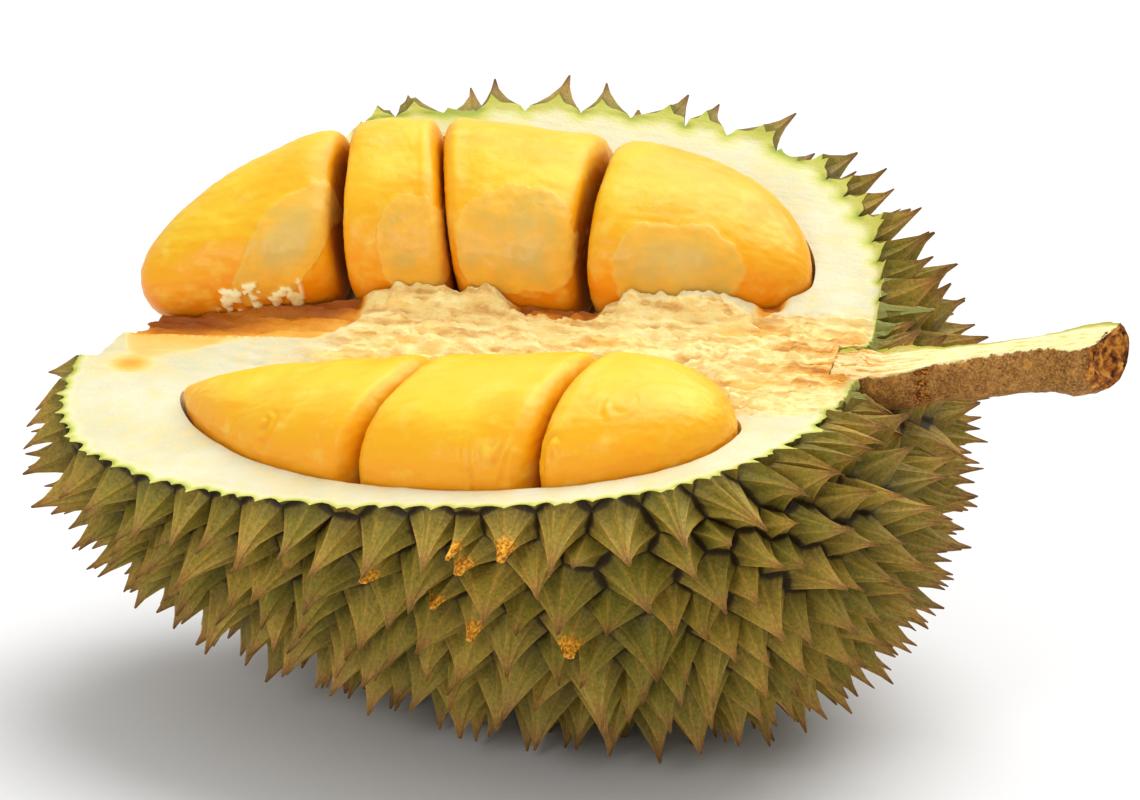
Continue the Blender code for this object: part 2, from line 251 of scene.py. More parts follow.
def beside_furrows(point):
    """A place on the ball moved off the two cuts."""
    place = from_ball(point)
    radius, angle = math.hypot(place.y, place.z), angle_at(point)
    for suture, shift in ((front_cut, 0.0), (back_cut, BACK_FURROW_SHIFT)):
        off = (angle - suture(place.x)) * radius + shift
        if abs(off) < FURROW_SHARE * SPINE_SPACING:
            angle += (math.copysign(FURROW_SHARE * SPINE_SPACING, off) - off) / max(radius, SPINE_SPACING)
    return at(point.x, angle, math.hypot(point.y, point.z))


def spine_ball():
    """A ball with one vertex for each spine, joined to its neighbours."""
    dice = random.Random(SEED)
    count = round(SKIN_AREA / (SPINE_SPACING**2 * math.sqrt(3) / 2))
    nudge = PLACE_SPREAD * math.sqrt(4 * math.pi / count)
    bm = bmesh.new()
    for i in range(count):
        x = -1 + 2 * (i + 0.5) / count
        angle = i * math.pi * (3 - math.sqrt(5))
        point = at(x, angle, math.sqrt(1 - x * x))
        point += Vector([dice.uniform(-nudge, nudge) for _ in range(3)])
        bm.verts.new(beside_furrows(point.normalized()))
    bmesh.ops.convex_hull(bm, input=list(bm.verts))
    return bm


def face_outwards(bm):
    """Turns the faces of a closed bmesh so that they all point out of it."""
    bmesh.ops.recalc_face_normals(bm, faces=bm.faces)
    if bm.calc_volume(signed=True) < 0:
        bmesh.ops.reverse_faces(bm, faces=bm.faces)


ball = spine_ball()
print(len(ball.verts), "spines all round")

# %% [markdown]
# ## Which way each spine points
# Spines lean a little towards the nearer end of the fruit, crowd outwards round the stem, and fold
# down along the lower edge of the opening. Each gets its own length within a narrow range. On the front
# a few tips have been knocked off, and their stumps have dried to crumbs.

# %% The tip of a spine
SPINE_LENGTH = 0.0160
LENGTH_SPREAD = 0.12
LEAN_SPREAD = 0.14
LEAN_TO_ENDS = 0.16
SUTURE_LEAN = 0.5
BACK_SUTURE_LEAN = 0.25
OPENED_LEAN, OPENED_LENGTH = 0.7, 0.5
BACK_SUTURE_LENGTH = 1.15
STEM_LEAN, STEM_LENGTH = 0.6, 0.75
# Every spine is a little shorter than it might be, so that none leaves the fixed model's box.
TIP_SHY = 0.988
BARE_STEM_RING = 0.0125
CROWDED_STEM_RING = 0.024


def spine_tip(root, normal, width, dice):
    """Where the spine on this root ends."""
    end_share = (root.x - MIDDLE_X) / HALF_LENGTH
    angle = angle_at(root)
    to_front = outward(angle - math.pi / 2)
    lean = Vector((LEAN_TO_ENDS * end_share * abs(end_share), 0, 0))
    lean += Vector([dice.uniform(-LEAN_SPREAD, LEAN_SPREAD) for _ in range(3)])
    from_axis = math.hypot(root.y, root.z)
    length = TIP_SHY * SPINE_LENGTH * dice.uniform(1 - LENGTH_SPREAD, 1 + LENGTH_SPREAD)
    length *= min(1.1, max(0.9, width / SPINE_SPACING))
    below = (front_cut(root.x) - angle) * from_axis
    if abs(below) < SPINE_SPACING:
        lean += to_front * SUTURE_LEAN * (1 - abs(below) / SPINE_SPACING)
        length *= OPENED_LENGTH if below < 0 else 1.0
    beyond = (angle - back_cut(root.x)) * from_axis
    if abs(beyond) < SPINE_SPACING:
        lean += to_front * (BACK_SUTURE_LEAN * (1 - beyond / SPINE_SPACING) if beyond > 0 else OPENED_LEAN)
        length *= BACK_SUTURE_LENGTH
    if root.x > MIDDLE_X and from_axis < CROWDED_STEM_RING:
        lean = Vector((0, root.y, root.z)) / max(from_axis, 0.001) * STEM_LEAN
        length *= STEM_LENGTH
    if root.x > MIDDLE_X and from_axis < BARE_STEM_RING:
        return root + normal * 0.001
    return root + (normal + lean).normalized() * length


def newell_area(points):
    """The area of a nearly flat polygon."""
    total = Vector()
    for a, b in zip(points, points[1:] + points[:1]):
        total += a.cross(b)
    return total.length / 2


print("spines are about", round(1000 * SPINE_LENGTH), "mm long")

# %% [markdown]
# ## The cells
# This mesh is the paving itself: one face for each spine, with a vertex at each corner and one in the
# middle of each side. Attributes carry what the growing needs later: where the spine is rooted, where
# it ends, the point that its curve leans towards, and which vertices are corners, because a ridge climbs
# from each corner and the side between two ridges is hollow.

# %% Make the cells
CURVE_SHARE = 0.55
# Knocked-off tips: how many there are in the places where they occur, how much of the spine is left,
# and where they occur, by the angle round the axis and by x.
BROKEN_TIPS = 0.22
STUMP_SHARE = (0.74, 0.86)
BROKEN_ANGLES = (-0.62, 0.02)
BROKEN_STRETCH = (-0.04, 0.075)

cells = bmesh.new()
root_layer = cells.faces.layers.float_vector.new("root")
tip_layer = cells.faces.layers.float_vector.new("tip")
control_layer = cells.faces.layers.float_vector.new("control")
blunt_layer = cells.faces.layers.float.new("blunt")
ridge_layer = cells.verts.layers.float.new("ridge")
foot_layer = cells.verts.layers.float_vector.new("foot")
corner_place = {face: from_ball(face.calc_center_median()) for face in ball.faces}
corners = {}
for face, place in corner_place.items():
    corners[face] = cells.verts.new(place)
    corners[face][ridge_layer] = 1.0
middles = {}
for edge in ball.edges:
    one, other = edge.link_faces
    middles[edge] = cells.verts.new((corner_place[one] + corner_place[other]) / 2)
for vert in ball.verts:
    vert.co = from_ball(vert.co)
face_outwards(ball)
ball.normal_update()

dice, chips = random.Random(SEED + 1), random.Random(SEED + 2)
stump_count = 0
for root in ball.verts:
    side = root.normal.orthogonal().normalized()
    other = root.normal.cross(side)

    def turn(face):
        step = corner_place[face] - root.co
        return math.atan2(step.dot(other), step.dot(side))

    around = sorted(root.link_faces, key=turn)
    area = newell_area([corner_place[face] for face in around])
    tip = spine_tip(root.co, root.normal, 2 * math.sqrt(area / math.pi), dice)
    angle = angle_at(root.co)
    knocked = (
        chips.random() < BROKEN_TIPS
        and BROKEN_ANGLES[0] < angle < BROKEN_ANGLES[1]
        and BROKEN_STRETCH[0] < root.co.x < BROKEN_STRETCH[1]
    )
    if knocked:
        stump_count += 1
        tip = root.co + (tip - root.co) * chips.uniform(*STUMP_SHARE)
    loop = []
    for one, following in zip(around, around[1:] + around[:1]):
        shared = next(edge for edge in one.edges if root in edge.verts and following in edge.link_faces)
        loop += [corners[one], middles[shared]]
    cell = cells.faces.new(loop)
    cell[root_layer] = root.co
    cell[tip_layer] = tip
    cell[control_layer] = root.co + root.normal * (tip - root.co).length * CURVE_SHARE
    cell[blunt_layer] = float(knocked)
for vert in cells.verts:
    vert[foot_layer] = vert.co
face_outwards(cells)
ball.free()

cell_mesh = mesh_of(cells, "spine_cells")
print(len(cell_mesh.polygons), "cells,", stump_count, "of them with a knocked-off tip")

# %% [markdown]
# ## Helpers for node trees
# Both Geometry Nodes and materials are trees of nodes. This class holds a tree while it is built. Its first
# helper adds a node, sets it up, and either fills each input or links it. The others each add one step of
# arithmetic, or read an attribute of the mesh.

# %% Add and link nodes
class Tree:
    def __init__(self, tree):
        self.tree = tree

    def add(self, kind, inputs=None, **settings):
        """A new node. An input is filled with a value, or linked where the value is a socket."""
        node = self.tree.nodes.new(kind)
        for name, value in settings.items():
            setattr(node, name, value)
        for key, value in (inputs or {}).items():
            if isinstance(value, bpy.types.NodeSocket):
                self.tree.links.new(value, node.inputs[key])
            else:
                node.inputs[key].default_value = value
        return node

    def maths(self, operation, a, b=0.0, c=0.0):
        return self.add("ShaderNodeMath", {0: a, 1: b, 2: c}, operation=operation).outputs[0]

    def plus(self, a, b):
        return self.maths("ADD", a, b)

    def times(self, a, b):
        return self.maths("MULTIPLY", a, b)

    def from_one(self, a):
        return self.maths("SUBTRACT", 1.0, a)

    def vector(self, operation, a, b):
        return self.add("ShaderNodeVectorMath", {0: a, 1: b}, operation=operation).outputs[0]

    def scaled(self, a, scale):
        return self.add("ShaderNodeVectorMath", {0: a, "Scale": scale}, operation="SCALE").outputs[0]

    def named(self, name, kind="FLOAT_VECTOR"):
        return self.add("GeometryNodeInputNamedAttribute", {"Name": name}, data_type=kind).outputs[0]


print("helpers for node trees are ready")

# %% [markdown]
# ## Growing the spines
# Hundreds of spines follow one rule, so Geometry Nodes grow them all. Each cell is extruded on its own
# in four steps, and each new ring is drawn in round the spine's curve: narrower as it rises, and hollow
# between the ridges. The lowest step is very low, so that the border between two spines stays a fine
# crack, narrow enough for the painted shade that the rind's finish lays along it. The tree ends by
# realising the result and giving it its material.

# %% Build the tree that grows spines
# Each ring: its height as a share of the spine, and how much of the hollow it shows.
SPINE_RINGS = ((0.045, 0.35), (0.20, 0.9), (0.45, 1.0), (0.74, 0.8), (0.985, 0.0))


def grow_spines_tree(material):
    """The tree, and the identifiers of its inputs by name."""
    group = bpy.data.node_groups.new("grow_spines", "GeometryNodeTree")
    face = group.interface
    face.new_socket("Geometry", in_out="INPUT", socket_type="NodeSocketGeometry")
    names = {}
    for name in ("Hollow sides", "Slimness", "Tip width", "Stump width"):
        names[name] = face.new_socket(name, in_out="INPUT", socket_type="NodeSocketFloat").identifier
    face.new_socket("Geometry", in_out="OUTPUT", socket_type="NodeSocketGeometry")
    grow = Tree(group)
    given = group.nodes.new("NodeGroupInput").outputs
    root, tip, control, foot = (grow.named(name) for name in ("root", "tip", "control", "foot"))
    ridge, blunt = grow.named("ridge", "FLOAT"), grow.named("blunt", "FLOAT")
    off_ridge = grow.from_one(ridge)
    across = grow.vector("SUBTRACT", foot, root)
    end_width = grow.plus(given["Tip width"], grow.times(blunt, given["Stump width"]))
    geometry, top = given["Geometry"], None
    for height, hollow_share in SPINE_RINGS:
        inputs = {"Mesh": geometry, "Offset Scale": 0.0, "Individual": True}
        if top:
            inputs["Selection"] = top
        extruded = grow.add("GeometryNodeExtrudeMesh", inputs, mode="FACES")
        top = extruded.outputs["Top"]
        axis = grow.scaled(root, (1 - height) ** 2)
        for point, weight in ((control, 2 * height * (1 - height)), (tip, height**2)):
            axis = grow.vector("ADD", axis, grow.scaled(point, weight))
        width = grow.maths("POWER", 1 - height, given["Slimness"])
        width = grow.plus(width, grow.times(end_width, height**2))
        hollow = grow.times(grow.times(given["Hollow sides"], hollow_share), off_ridge)
        width = grow.times(width, grow.from_one(hollow))
        place = grow.vector("ADD", axis, grow.scaled(across, width))
        inputs = {"Geometry": extruded.outputs["Mesh"], "Selection": top, "Position": place}
        geometry = grow.add("GeometryNodeSetPosition", inputs).outputs["Geometry"]
    inputs = {"Geometry": grow.add("GeometryNodeRealizeInstances", {"Geometry": geometry}).outputs["Geometry"]}
    finished = grow.add("GeometryNodeSetMaterial", inputs | {"Material": material}).outputs["Geometry"]
    grow.add("NodeGroupOutput", {"Geometry": finished})
    return group, names


print("a spine has", len(SPINE_RINGS), "rings")

# %% Grow them
rind = bpy.data.materials.new("durian_rind")
pith = bpy.data.materials.new("durian_pith")
spine_grower = add_object("spine_grower", cell_mesh)
growing = spine_grower.modifiers.new("grow spines", "NODES")
growing.node_group, sockets = grow_spines_tree(rind)
growing[sockets["Hollow sides"]] = 0.24
growing[sockets["Slimness"]] = 1.45
growing[sockets["Tip width"]] = 0.035
growing[sockets["Stump width"]] = 0.11


def plain_mesh(thing):
    """What an object's modifiers make of it, as a plain mesh. The object itself is removed."""
    graph = bpy.context.evaluated_depsgraph_get()
    mesh = bpy.data.meshes.new_from_object(thing.evaluated_get(graph))
    bpy.data.objects.remove(thing)
    return mesh


spiny_mesh = plain_mesh(spine_grower)
print("the whole spiny skin has", len(spiny_mesh.polygons), "faces")

# %% [markdown]
# ## The shape of the pulp
# Each chamber holds a row of segments, pressed flat against each other at their joints and rounded where
# they meet the husk. One formula gives every point of every segment from two numbers: how far along
# the segment it is, and how far round it. The hollow that the row sits in is the same formula, grown by
# half a millimetre.

# %% The formula of the pulp
SECTION_POWER = 2.3
JOINT_POWER = 8.0
PULP_GAP = 0.0009
CHAMBER_CLEARANCE = 0.0006
# Each chamber: its cut's angle at x and the side its pulp stands out on; then where the pulp is widest, its
# middle's distance from the axis, its half height and half thickness there; then how each end tapers; then
# its joints in x, with the slant of each.
CHAMBERS = {
    "front": {
        "angle": front_cut,
        "turn": 1,
        "widest": (0.030, 0.0560, 0.0325, 0.0200),
        "left_taper": (1.8, 1.5, 0.027, 1.0),
        "right_taper": (3.2, 1.6, 0.053, 1.0),
        "ends": (-0.0775, -0.0050, 0.0420, 0.0840),
        "slants": (0.0, -0.008, -0.004, 0.0),
    },
    "back": {
        "angle": back_cut,
        "turn": -1,
        "widest": (0.005, 0.0555, 0.0318, 0.0215),
        "left_taper": (3.5, 2.0, 0.024, 3.0),
        "right_taper": (2.8, 1.9, 0.040, 1.0),
        "ends": (-0.1060, -0.0500, -0.0215, 0.0225, 0.0850),
        "slants": (0.0, -0.0045, -0.008, 0.000, 0.0),
    },
}


def squared(value, power):
    """A cosine or sine bent so that a circle becomes a rounded square."""
    return np.sign(value) * np.abs(value) ** (2 / power)


def pulp_section(x, chamber):
    """The middle's distance from the axis, the half height and the half thickness of the pulp at x."""
    widest_x, middle, height, thickness = chamber["widest"]
    left = x < widest_x
    end = np.where(left, chamber["ends"][0], chamber["ends"][-1])
    near, far, end_middle, way = (
        np.where(left, a, b) for a, b in zip(chamber["left_taper"], chamber["right_taper"])
    )
    share = np.clip((x - widest_x) / (end - widest_x), 0.0, 1.0)
    full = (1 - share**near) ** (1 / far)
    return end_middle + (middle - end_middle) * full**way, height * full, thickness * full**0.8


def pulp_points(chamber, first, last, level, turn, grown=0.0):
    """Points of the pulp between two joints. level runs from -1 to 1 along it and turn goes round it."""
    ends, slants = chamber["ends"], chamber["slants"]
    outermost = len(ends) - 1
    left = ends[first] + (PULP_GAP / 2 if first else 0)
    right = ends[last] - (PULP_GAP / 2 if last < outermost else 0)
    joint = ((level < 0) & (first > 0)) | ((level > 0) & (last < outermost))
    round_it = np.sqrt(np.maximum(0, 1 - level**2))
    boxed = (np.abs(level) ** JOINT_POWER + round_it**JOINT_POWER) ** (-1 / JOINT_POWER)
    share = np.where(joint, level * boxed, level)
    swell = np.where(joint, round_it * boxed, 1.0)
    up = squared(np.cos(turn), SECTION_POWER) * swell
    out = squared(np.sin(turn), SECTION_POWER) * swell
    slant = slants[first] + (slants[last] - slants[first]) * (share + 1) / 2
    x = (left + right) / 2 + share * (right - left) / 2 + slant * up
    middle, height, thickness = pulp_section(x, chamber)
    angle = chamber["angle"](x)
    place = outwards(angle) * (middle + up * (height + grown))[:, None]
    place += outwards(angle + chamber["turn"] * math.pi / 2) * (out * (thickness + grown))[:, None]
    place[:, 0] = x + grown * share
    return place, up, out


def pulp_mesh(name, chamber, first, last, around, along, grown=0.0):
    """A closed mesh of the pulp, with its up and out at each vertex."""
    levels = np.sin(np.linspace(-math.pi / 2, math.pi / 2, along + 1))[1:-1]
    turns = 2 * math.pi * np.arange(around) / around
    level = np.concatenate([np.repeat(levels, around), [-1.0, 1.0]])
    turn = np.concatenate([np.tile(turns, along - 1), [0.0, 0.0]])
    points, up, out = pulp_points(chamber, first, last, level, turn, grown)
    south, north = len(points) - 2, len(points) - 1
    faces = []
    for row in range(along - 2):
        for i in range(around):
            j = (i + 1) % around
            a, b = row * around, (row + 1) * around
            faces.append((a + i, a + j, b + j, b + i))
    for i in range(around):
        j = (i + 1) % around
        faces.append((south, j, i))
        faces.append((north, (along - 2) * around + i, (along - 2) * around + j))
    mesh = bpy.data.meshes.new(name)
    mesh.from_pydata(points.tolist(), [], faces)
    bm = bmesh.new()
    bm.from_mesh(mesh)
    face_outwards(bm)
    bm.to_mesh(mesh)
    bm.free()
    return mesh, up, out, level, turn


print("the pulp is formed in", sum(len(c["ends"]) - 1 for c in CHAMBERS.values()), "segments")

# %% [markdown]
# ## Opening the fruit
# The husk was split along two sutures, and the wedge between them is gone. What stays open to view is the
# cream pith: two smooth bands that run out to the rim, and the core between them, which tore and left
# ragged fibres. The missing wedge is made as a solid whose lower surface already has that relief, and
# a Boolean takes it out of the spiny skin, so that the torn surface stays in the husk.

# %% The relief of the torn pith
CORE_RISE = 0.004
CORE_HALF_WIDTH = 0.016
BACK_RIM_BEND = math.radians(16.0)
REACH = 0.2


def fractal(x, y, z, octaves=3):
    return noise.fractal(Vector((x, y, z)), 0.9, 2.1, octaves)


def wildness(x, side):
    """How torn the pith is, from 0 to 1, side being the distance from the axis, minus to the front."""
    to_front = 0.013 + 0.026 * eased(x, 0.0, 0.085)
    back = 1 - eased(side, 0.021, 0.030)
    front = 1 - eased(-side, to_front - 0.004, to_front + 0.005)
    return np.minimum(back, front) * (0.2 + 0.8 * eased(x, -0.060, -0.024))


def torn(x, side):
    """How far the torn fibres stand up: long crests that wander, and tufts."""
    drift = side + 0.004 * fractal(x * 25, side * 40, 5.5, 2)
    crests = 1 - abs(fractal(x * 70, drift * 330, 3.1, 4))
    tufts = fractal(x * 130, side * 240, 9.4, 5)
    crumbs = fractal(x * 420, side * 420, 6.1, 2)
    return 0.0024 * (crests - 0.8) + 0.0020 * max(-0.25, tufts) + 0.0005 * crumbs


def low_edge(x):
    """The distance from the axis to the lower edge of the back pulp."""
    middle, height, _ = pulp_section(x, CHAMBERS["back"])
    return float(middle - height)


# Where along the fruit the torn edge stands up against the back pulp, and where a gap lies open below it.
LIPS = ((-0.034, 0.000), (0.033, 0.067))
GAPS = ((-0.104, -0.039), (0.004, 0.029), (0.072, 0.079))
WIDE_GAP = ((-0.110, -0.041),)
GAP_WIDTH, WIDER_BY = 0.006, 0.015
LIP_RISE, GAP_DEPTH = 0.0040, 0.0028


def within(x, stretches, soft=0.004):
    """1 inside the stretches of x and 0 outside, with soft ends."""
    return max(float(window(x, a - soft, a + soft, b - soft, b + soft)) for a, b in stretches)


def gap_start(x, edge):
    return edge - (GAP_WIDTH + WIDER_BY * within(x, WIDE_GAP, 0.010))


def gap_here(x, side, edge):
    """1 in the open gap below the back pulp and 0 outside it."""
    start = gap_start(x, edge)
    return within(x, GAPS, 0.002) * float(eased(side, start - 0.0015, start + 0.0015))


def stain_here(x, side, edge):
    """How much painted shade lies on the pith in the gap: orange at its near edge and brown below the pulp."""
    return gap_here(x, side, edge) * (0.3 + 0.7 * float(eased(side, gap_start(x, edge), edge - 0.001)))


def pith_relief(x, side, edge):
    """The height of the pith over the plain cut. edge is the lower edge of the back pulp there."""
    calm = 0.0004 * fractal(x * 70, side * 70, 0.3, 3)
    relief = calm + float(wildness(x, side)) * torn(x, side)
    if side > 0:
        ragged = fractal(x * 170, side * 60, 2.2, 3)
        inside = 1 - float(eased(side, edge + 0.004, edge + 0.009))
        lip = inside * float(eased(side, edge - 0.011, edge - 0.003)) * within(x, LIPS)
        relief += lip * (LIP_RISE + 0.0022 * ragged)
        threads = fractal(x * 110, side * 420, 8.8, 4)
        relief -= inside * gap_here(x, side + 0.0020 * ragged, edge) * (GAP_DEPTH + 0.0014 * threads)
    return relief


print("fibres stand up to", round(1000 * max(torn(i / 999, 0) for i in range(60)), 1), "mm out of the core")

# %% The missing wedge
RELIEF_STEP = 0.0008
RELIEF_END = 0.13


def loft(rings):
    """A closed bmesh through rings that all have the same number of points, capped at both ends."""
    bm = bmesh.new()
    rows = [[bm.verts.new(point) for point in ring] for ring in rings]
    for row, following in zip(rows, rows[1:]):
        for i in range(len(row)):
            j = (i + 1) % len(row)
            bm.faces.new((row[i], row[j], following[j], following[i]))
    bm.faces.new(rows[0])
    bm.faces.new(rows[-1])
    face_outwards(bm)
    return bm


def steps(start, end, size):
    count = max(1, round(abs(end - start) / size))
    return [start + (end - start) * i / count for i in range(count)]


BAND = steps(REACH, 0.124, 0.038) + steps(0.124, CORE_HALF_WIDTH, RELIEF_STEP)
CORE = steps(-1.0, 1.0, RELIEF_STEP / CORE_HALF_WIDTH)


def rim_radius(x, angle):
    """The distance from the axis to the skin at a cut."""
    station = x
    for _ in range(4):
        station = x + END_DRAWN_IN * float(eased((station - MIDDLE_X) / HALF_LENGTH, 0.4, 1.0))
    return max(1.5 * CORE_HALF_WIDTH, float(skin_radius(station, angle)))


def wedge_ring(x):
    """The wedge's outline across the fruit at x: along the front cut, the core and the back cut."""
    bounded = max(-HALF_LENGTH, min(HALF_LENGTH, x - MIDDLE_X)) + MIDDLE_X
    low, high = front_cut(bounded), back_cut(bounded)
    middle = (low + high) / 2
    rim, edge = rim_radius(x, high), low_edge(x)
    centre = Vector((x, 0, 0))
    ring = []
    for r in BAND:
        lift = pith_relief(x, -r, edge) if r < RELIEF_END else 0.0
        ring.append(at(x, low, r) + outward(low + math.pi / 2) * lift)
    flanks = {-1: outward(low) * CORE_HALF_WIDTH, 1: outward(high) * CORE_HALF_WIDTH}
    for c in CORE:
        place = outward(middle) * CORE_RISE * (1 - abs(c)) + flanks[1 if c > 0 else -1] * abs(c)
        ring.append(centre + place + outward(middle) * pith_relief(x, c * CORE_HALF_WIDTH, edge))
    for r in reversed(BAND):
        lift = pith_relief(x, r, edge) if r < RELIEF_END else 0.0
        place = outward(high) * min(r, rim) + outward(high - BACK_RIM_BEND) * max(0.0, r - rim)
        ring.append(centre + place + outward(high - math.pi / 2) * lift)
    return ring + [at(x, high + (low - high) * j / 6, REACH) for j in range(1, 6)]


cutters = []


def add_cutter(mesh, material):
    """One more solid to cut the husk with. The faces of the cut take its material."""
    mesh.materials.append(material)
    cutters.append(add_object(mesh.name, mesh))


reach_x = [-0.23, -0.16] + steps(-0.1145, 0.1175, RELIEF_STEP) + [0.1175, 0.16, 0.23]
add_cutter(mesh_of(loft([wedge_ring(x) for x in reach_x]), "wedge"), pith)
print("the wedge has", len(cutters[0].data.polygons), "faces")

# %% The broken tip and the socket of the stem
BREAK_EDGE = 0.008
BREAK_FROM = math.radians(25.0)
BREAK_TO = math.radians(222.0)
BREAK_FACING = math.radians(187.0)
BREAK_CORE_X = -0.103
BREAK_SLOPE = 0.7
STEM_SIDES = 16
SOCKET_GAP = 0.0003


def break_tool():
    """The broken-off tip of the next valve, left of a slanting break whose face is rough."""
    edge = outward(front_cut(-HALF_LENGTH)) * BREAK_EDGE
    facing = outward(BREAK_FACING)
    sweep = [BREAK_FROM + (BREAK_TO - BREAK_FROM) * j / 24 for j in range(25)]
    outline = [edge] + [edge + outward(angle) * REACH for angle in sweep]
    hub = edge + outward(BREAK_FACING - 0.3) * 0.02
    rings = []
    for share in (1.0, 1.0) + tuple(1 - (i / 90) ** 0.8 for i in range(1, 90)):
        ring = []
        for point in outline:
            place = hub + (point - hub) * share
            rough = 0.0011 * fractal(place.y * 130, place.z * 130, 7.7, 3) * (1 if share < 0.8 else 0)
            x = BREAK_CORE_X + BREAK_SLOPE * place.dot(facing) + rough
            if not rings:
                x = -REACH - 0.1
            ring.append(Vector((x, place.y, place.z)))
        rings.append(ring)
    return loft(rings)


def socket_tool():
    angles = [2 * math.pi * i / STEM_SIDES for i in range(STEM_SIDES)]
    stations = ((0.0990 - SOCKET_GAP, 0.0080), (0.1070, 0.0098), (REACH, 0.0098))
    return loft([[at(x, angle, radius + SOCKET_GAP) for angle in angles] for x, radius in stations])


add_cutter(mesh_of(break_tool(), "broken_tip"), pith)
add_cutter(mesh_of(socket_tool(), "socket"), pith)
print("three cuts are ready:", ", ".join(cutter.name for cutter in cutters))

# %% The hollows
for side, chamber in CHAMBERS.items():
    last = len(chamber["ends"]) - 1
    add_cutter(pulp_mesh(side + "_hollow", chamber, 0, last, 72, 96, CHAMBER_CLEARANCE)[0], pith)
print("hollows for", len(CHAMBERS), "chambers")

# %% [markdown]
# ## Cutting the husk
# All the cuts are Booleans of the fast Manifold kind, which needs closed meshes and is exact about them.
# The new faces keep the material of the shape that cut them, so the torn flesh is pith at once. Last,
# what would reach below the table is cut flat, as the fruit's own weight has worn it.

# %% Cut the husk and keep its faces
spiny_mesh.materials.clear()
spiny_mesh.materials.append(rind)
husk = add_object("husk_detailed", spiny_mesh)
under_table = loft([[Vector((x, y, z)) for y, z in ((-1, -1), (1, -1), (1, 0), (-1, 0))] for x in (-1, 1)])
add_cutter(mesh_of(under_table, "table"), rind)
cutters[-1].matrix_world = FRUIT.inverted()
for cutter in cutters:
    cutting = husk.modifiers.new(cutter.name, "BOOLEAN")
    cutting.operation, cutting.solver, cutting.object = "DIFFERENCE", "MANIFOLD", cutter
    cutting.material_mode = "TRANSFER"
bpy.context.view_layer.update()
husk_mesh = plain_mesh(husk)
for cutter in cutters:
    bpy.data.objects.remove(cutter)


def keep_largest_body(mesh):
    """Removes the slivers of spines that the cuts left loose, and faces without an area."""
    bm = bmesh.new()
    bm.from_mesh(mesh)
    bmesh.ops.dissolve_degenerate(bm, dist=2e-6, edges=bm.edges)
    bodies, seen = [], set()
    for vert in bm.verts:
        if vert in seen:
            continue
        seen.add(vert)
        body = [vert]
        for reached in body:
            for edge in reached.link_edges:
                other = edge.other_vert(reached)
                if other not in seen:
                    seen.add(other)
                    body.append(other)
        bodies.append(body)
    bodies.sort(key=len)
    bmesh.ops.delete(bm, geom=[vert for body in bodies[:-1] for vert in body], context="VERTS")
    bm.to_mesh(mesh)
    bm.free()
    return len(bodies) - 1


print("loose slivers removed:", keep_largest_body(husk_mesh))
print("the cut husk has", len(husk_mesh.polygons), "faces and", [m.name for m in husk_mesh.materials])

# %% [markdown]
# ## What the finishes need to know
# A finish that follows the growth of the fruit needs numbers that only the shape can give. They are
# stored on the mesh as attributes. The pith gets its height over the skin and its distance from the rind
# in millimetres, shortened at the back rim for painted shade there, how torn and streaked it is, and the
# painted shade of the gaps below the pulp together with an orange pocket. The rind gets how far up its own
# spine a corner is, a lucky number for each spine, and whether the spine is a stump.

# %% Store what the rind needs
def store(mesh, domain, **values_by_name):
    for name, values in values_by_name.items():
        attribute = mesh.attributes.new(name, "FLOAT", domain)
        attribute.data.foreach_set("value", np.asarray(values, np.float32))


def height_slope(points):
    """How fast the height over the skin grows in x, y and z at each point."""
    base = skin_height(points)
    return np.stack([(skin_height(points + step) - base) / 1e-5 for step in 1e-5 * np.eye(3)], axis=1)


points = numbers(husk_mesh.vertices, "co", 3)
x_here = points[:, 0]
height = 1000 * skin_height(points) / np.maximum(1.0, np.linalg.norm(height_slope(points), axis=1))
roots, ends = (numbers(husk_mesh.attributes[name].data, "vector", 3) for name in ("root", "tip"))
stumps = numbers(husk_mesh.attributes["blunt"].data, "value")
face_of = np.repeat(np.arange(len(husk_mesh.polygons)), [p.loop_total for p in husk_mesh.polygons])
corner_vert = numbers(husk_mesh.loops, "vertex_index", kind=np.int32)
normals = height_slope(roots)
normals /= np.maximum(1.0, np.linalg.norm(normals, axis=1))[:, None]
lengths = np.maximum(0.004, np.sum((ends - roots) * normals, axis=1))
rise = np.sum((points[corner_vert] - roots[face_of]) * normals[face_of], axis=1) / lengths[face_of]
luck = np.modf(np.abs(np.sin(roots @ np.array((127.1, 311.7, 74.7)) * 1000)) * 437.5)[0]
store(husk_mesh, "CORNER", rise=np.clip(rise, -1, 1.3), luck=luck[face_of], stump=stumps[face_of])
for spare in ("root", "tip", "control", "blunt"):
    husk_mesh.attributes.remove(husk_mesh.attributes[spare])
print("spines stand", round(height.max(), 1), "mm over the skin at the most")

# %% Store what the pith needs
FAR_FROM_RIND = 9.0
POCKET_X, POCKET_SIDE = -0.0985, -0.0125
rind_tree = BVHTree.FromPolygons(
    [v.co for v in husk_mesh.vertices], [p.vertices for p in husk_mesh.polygons if p.material_index == 0]
)
to_rind = np.full(len(points), FAR_FROM_RIND)
for index in {v for p in husk_mesh.polygons if p.material_index == 1 for v in p.vertices}:
    found = rind_tree.find_nearest(husk_mesh.vertices[index].co, FAR_FROM_RIND / 1000)
    to_rind[index] = 1000 * found[3] if found[0] else FAR_FROM_RIND
middle_angle = (front_cut(x_here) + back_cut(x_here)) / 2
side = np.hypot(points[:, 1], points[:, 2]) * np.where(angle_of(points) > middle_angle, 1, -1)
edges = np.array([low_edge(x) for x in x_here])
gaps = np.array([stain_here(*here) for here in zip(x_here, side, edges)])
pocket = 0.65 * np.exp(-(((x_here - POCKET_X) / 0.0065) ** 2) - ((side - POCKET_SIDE) / 0.0035) ** 2)
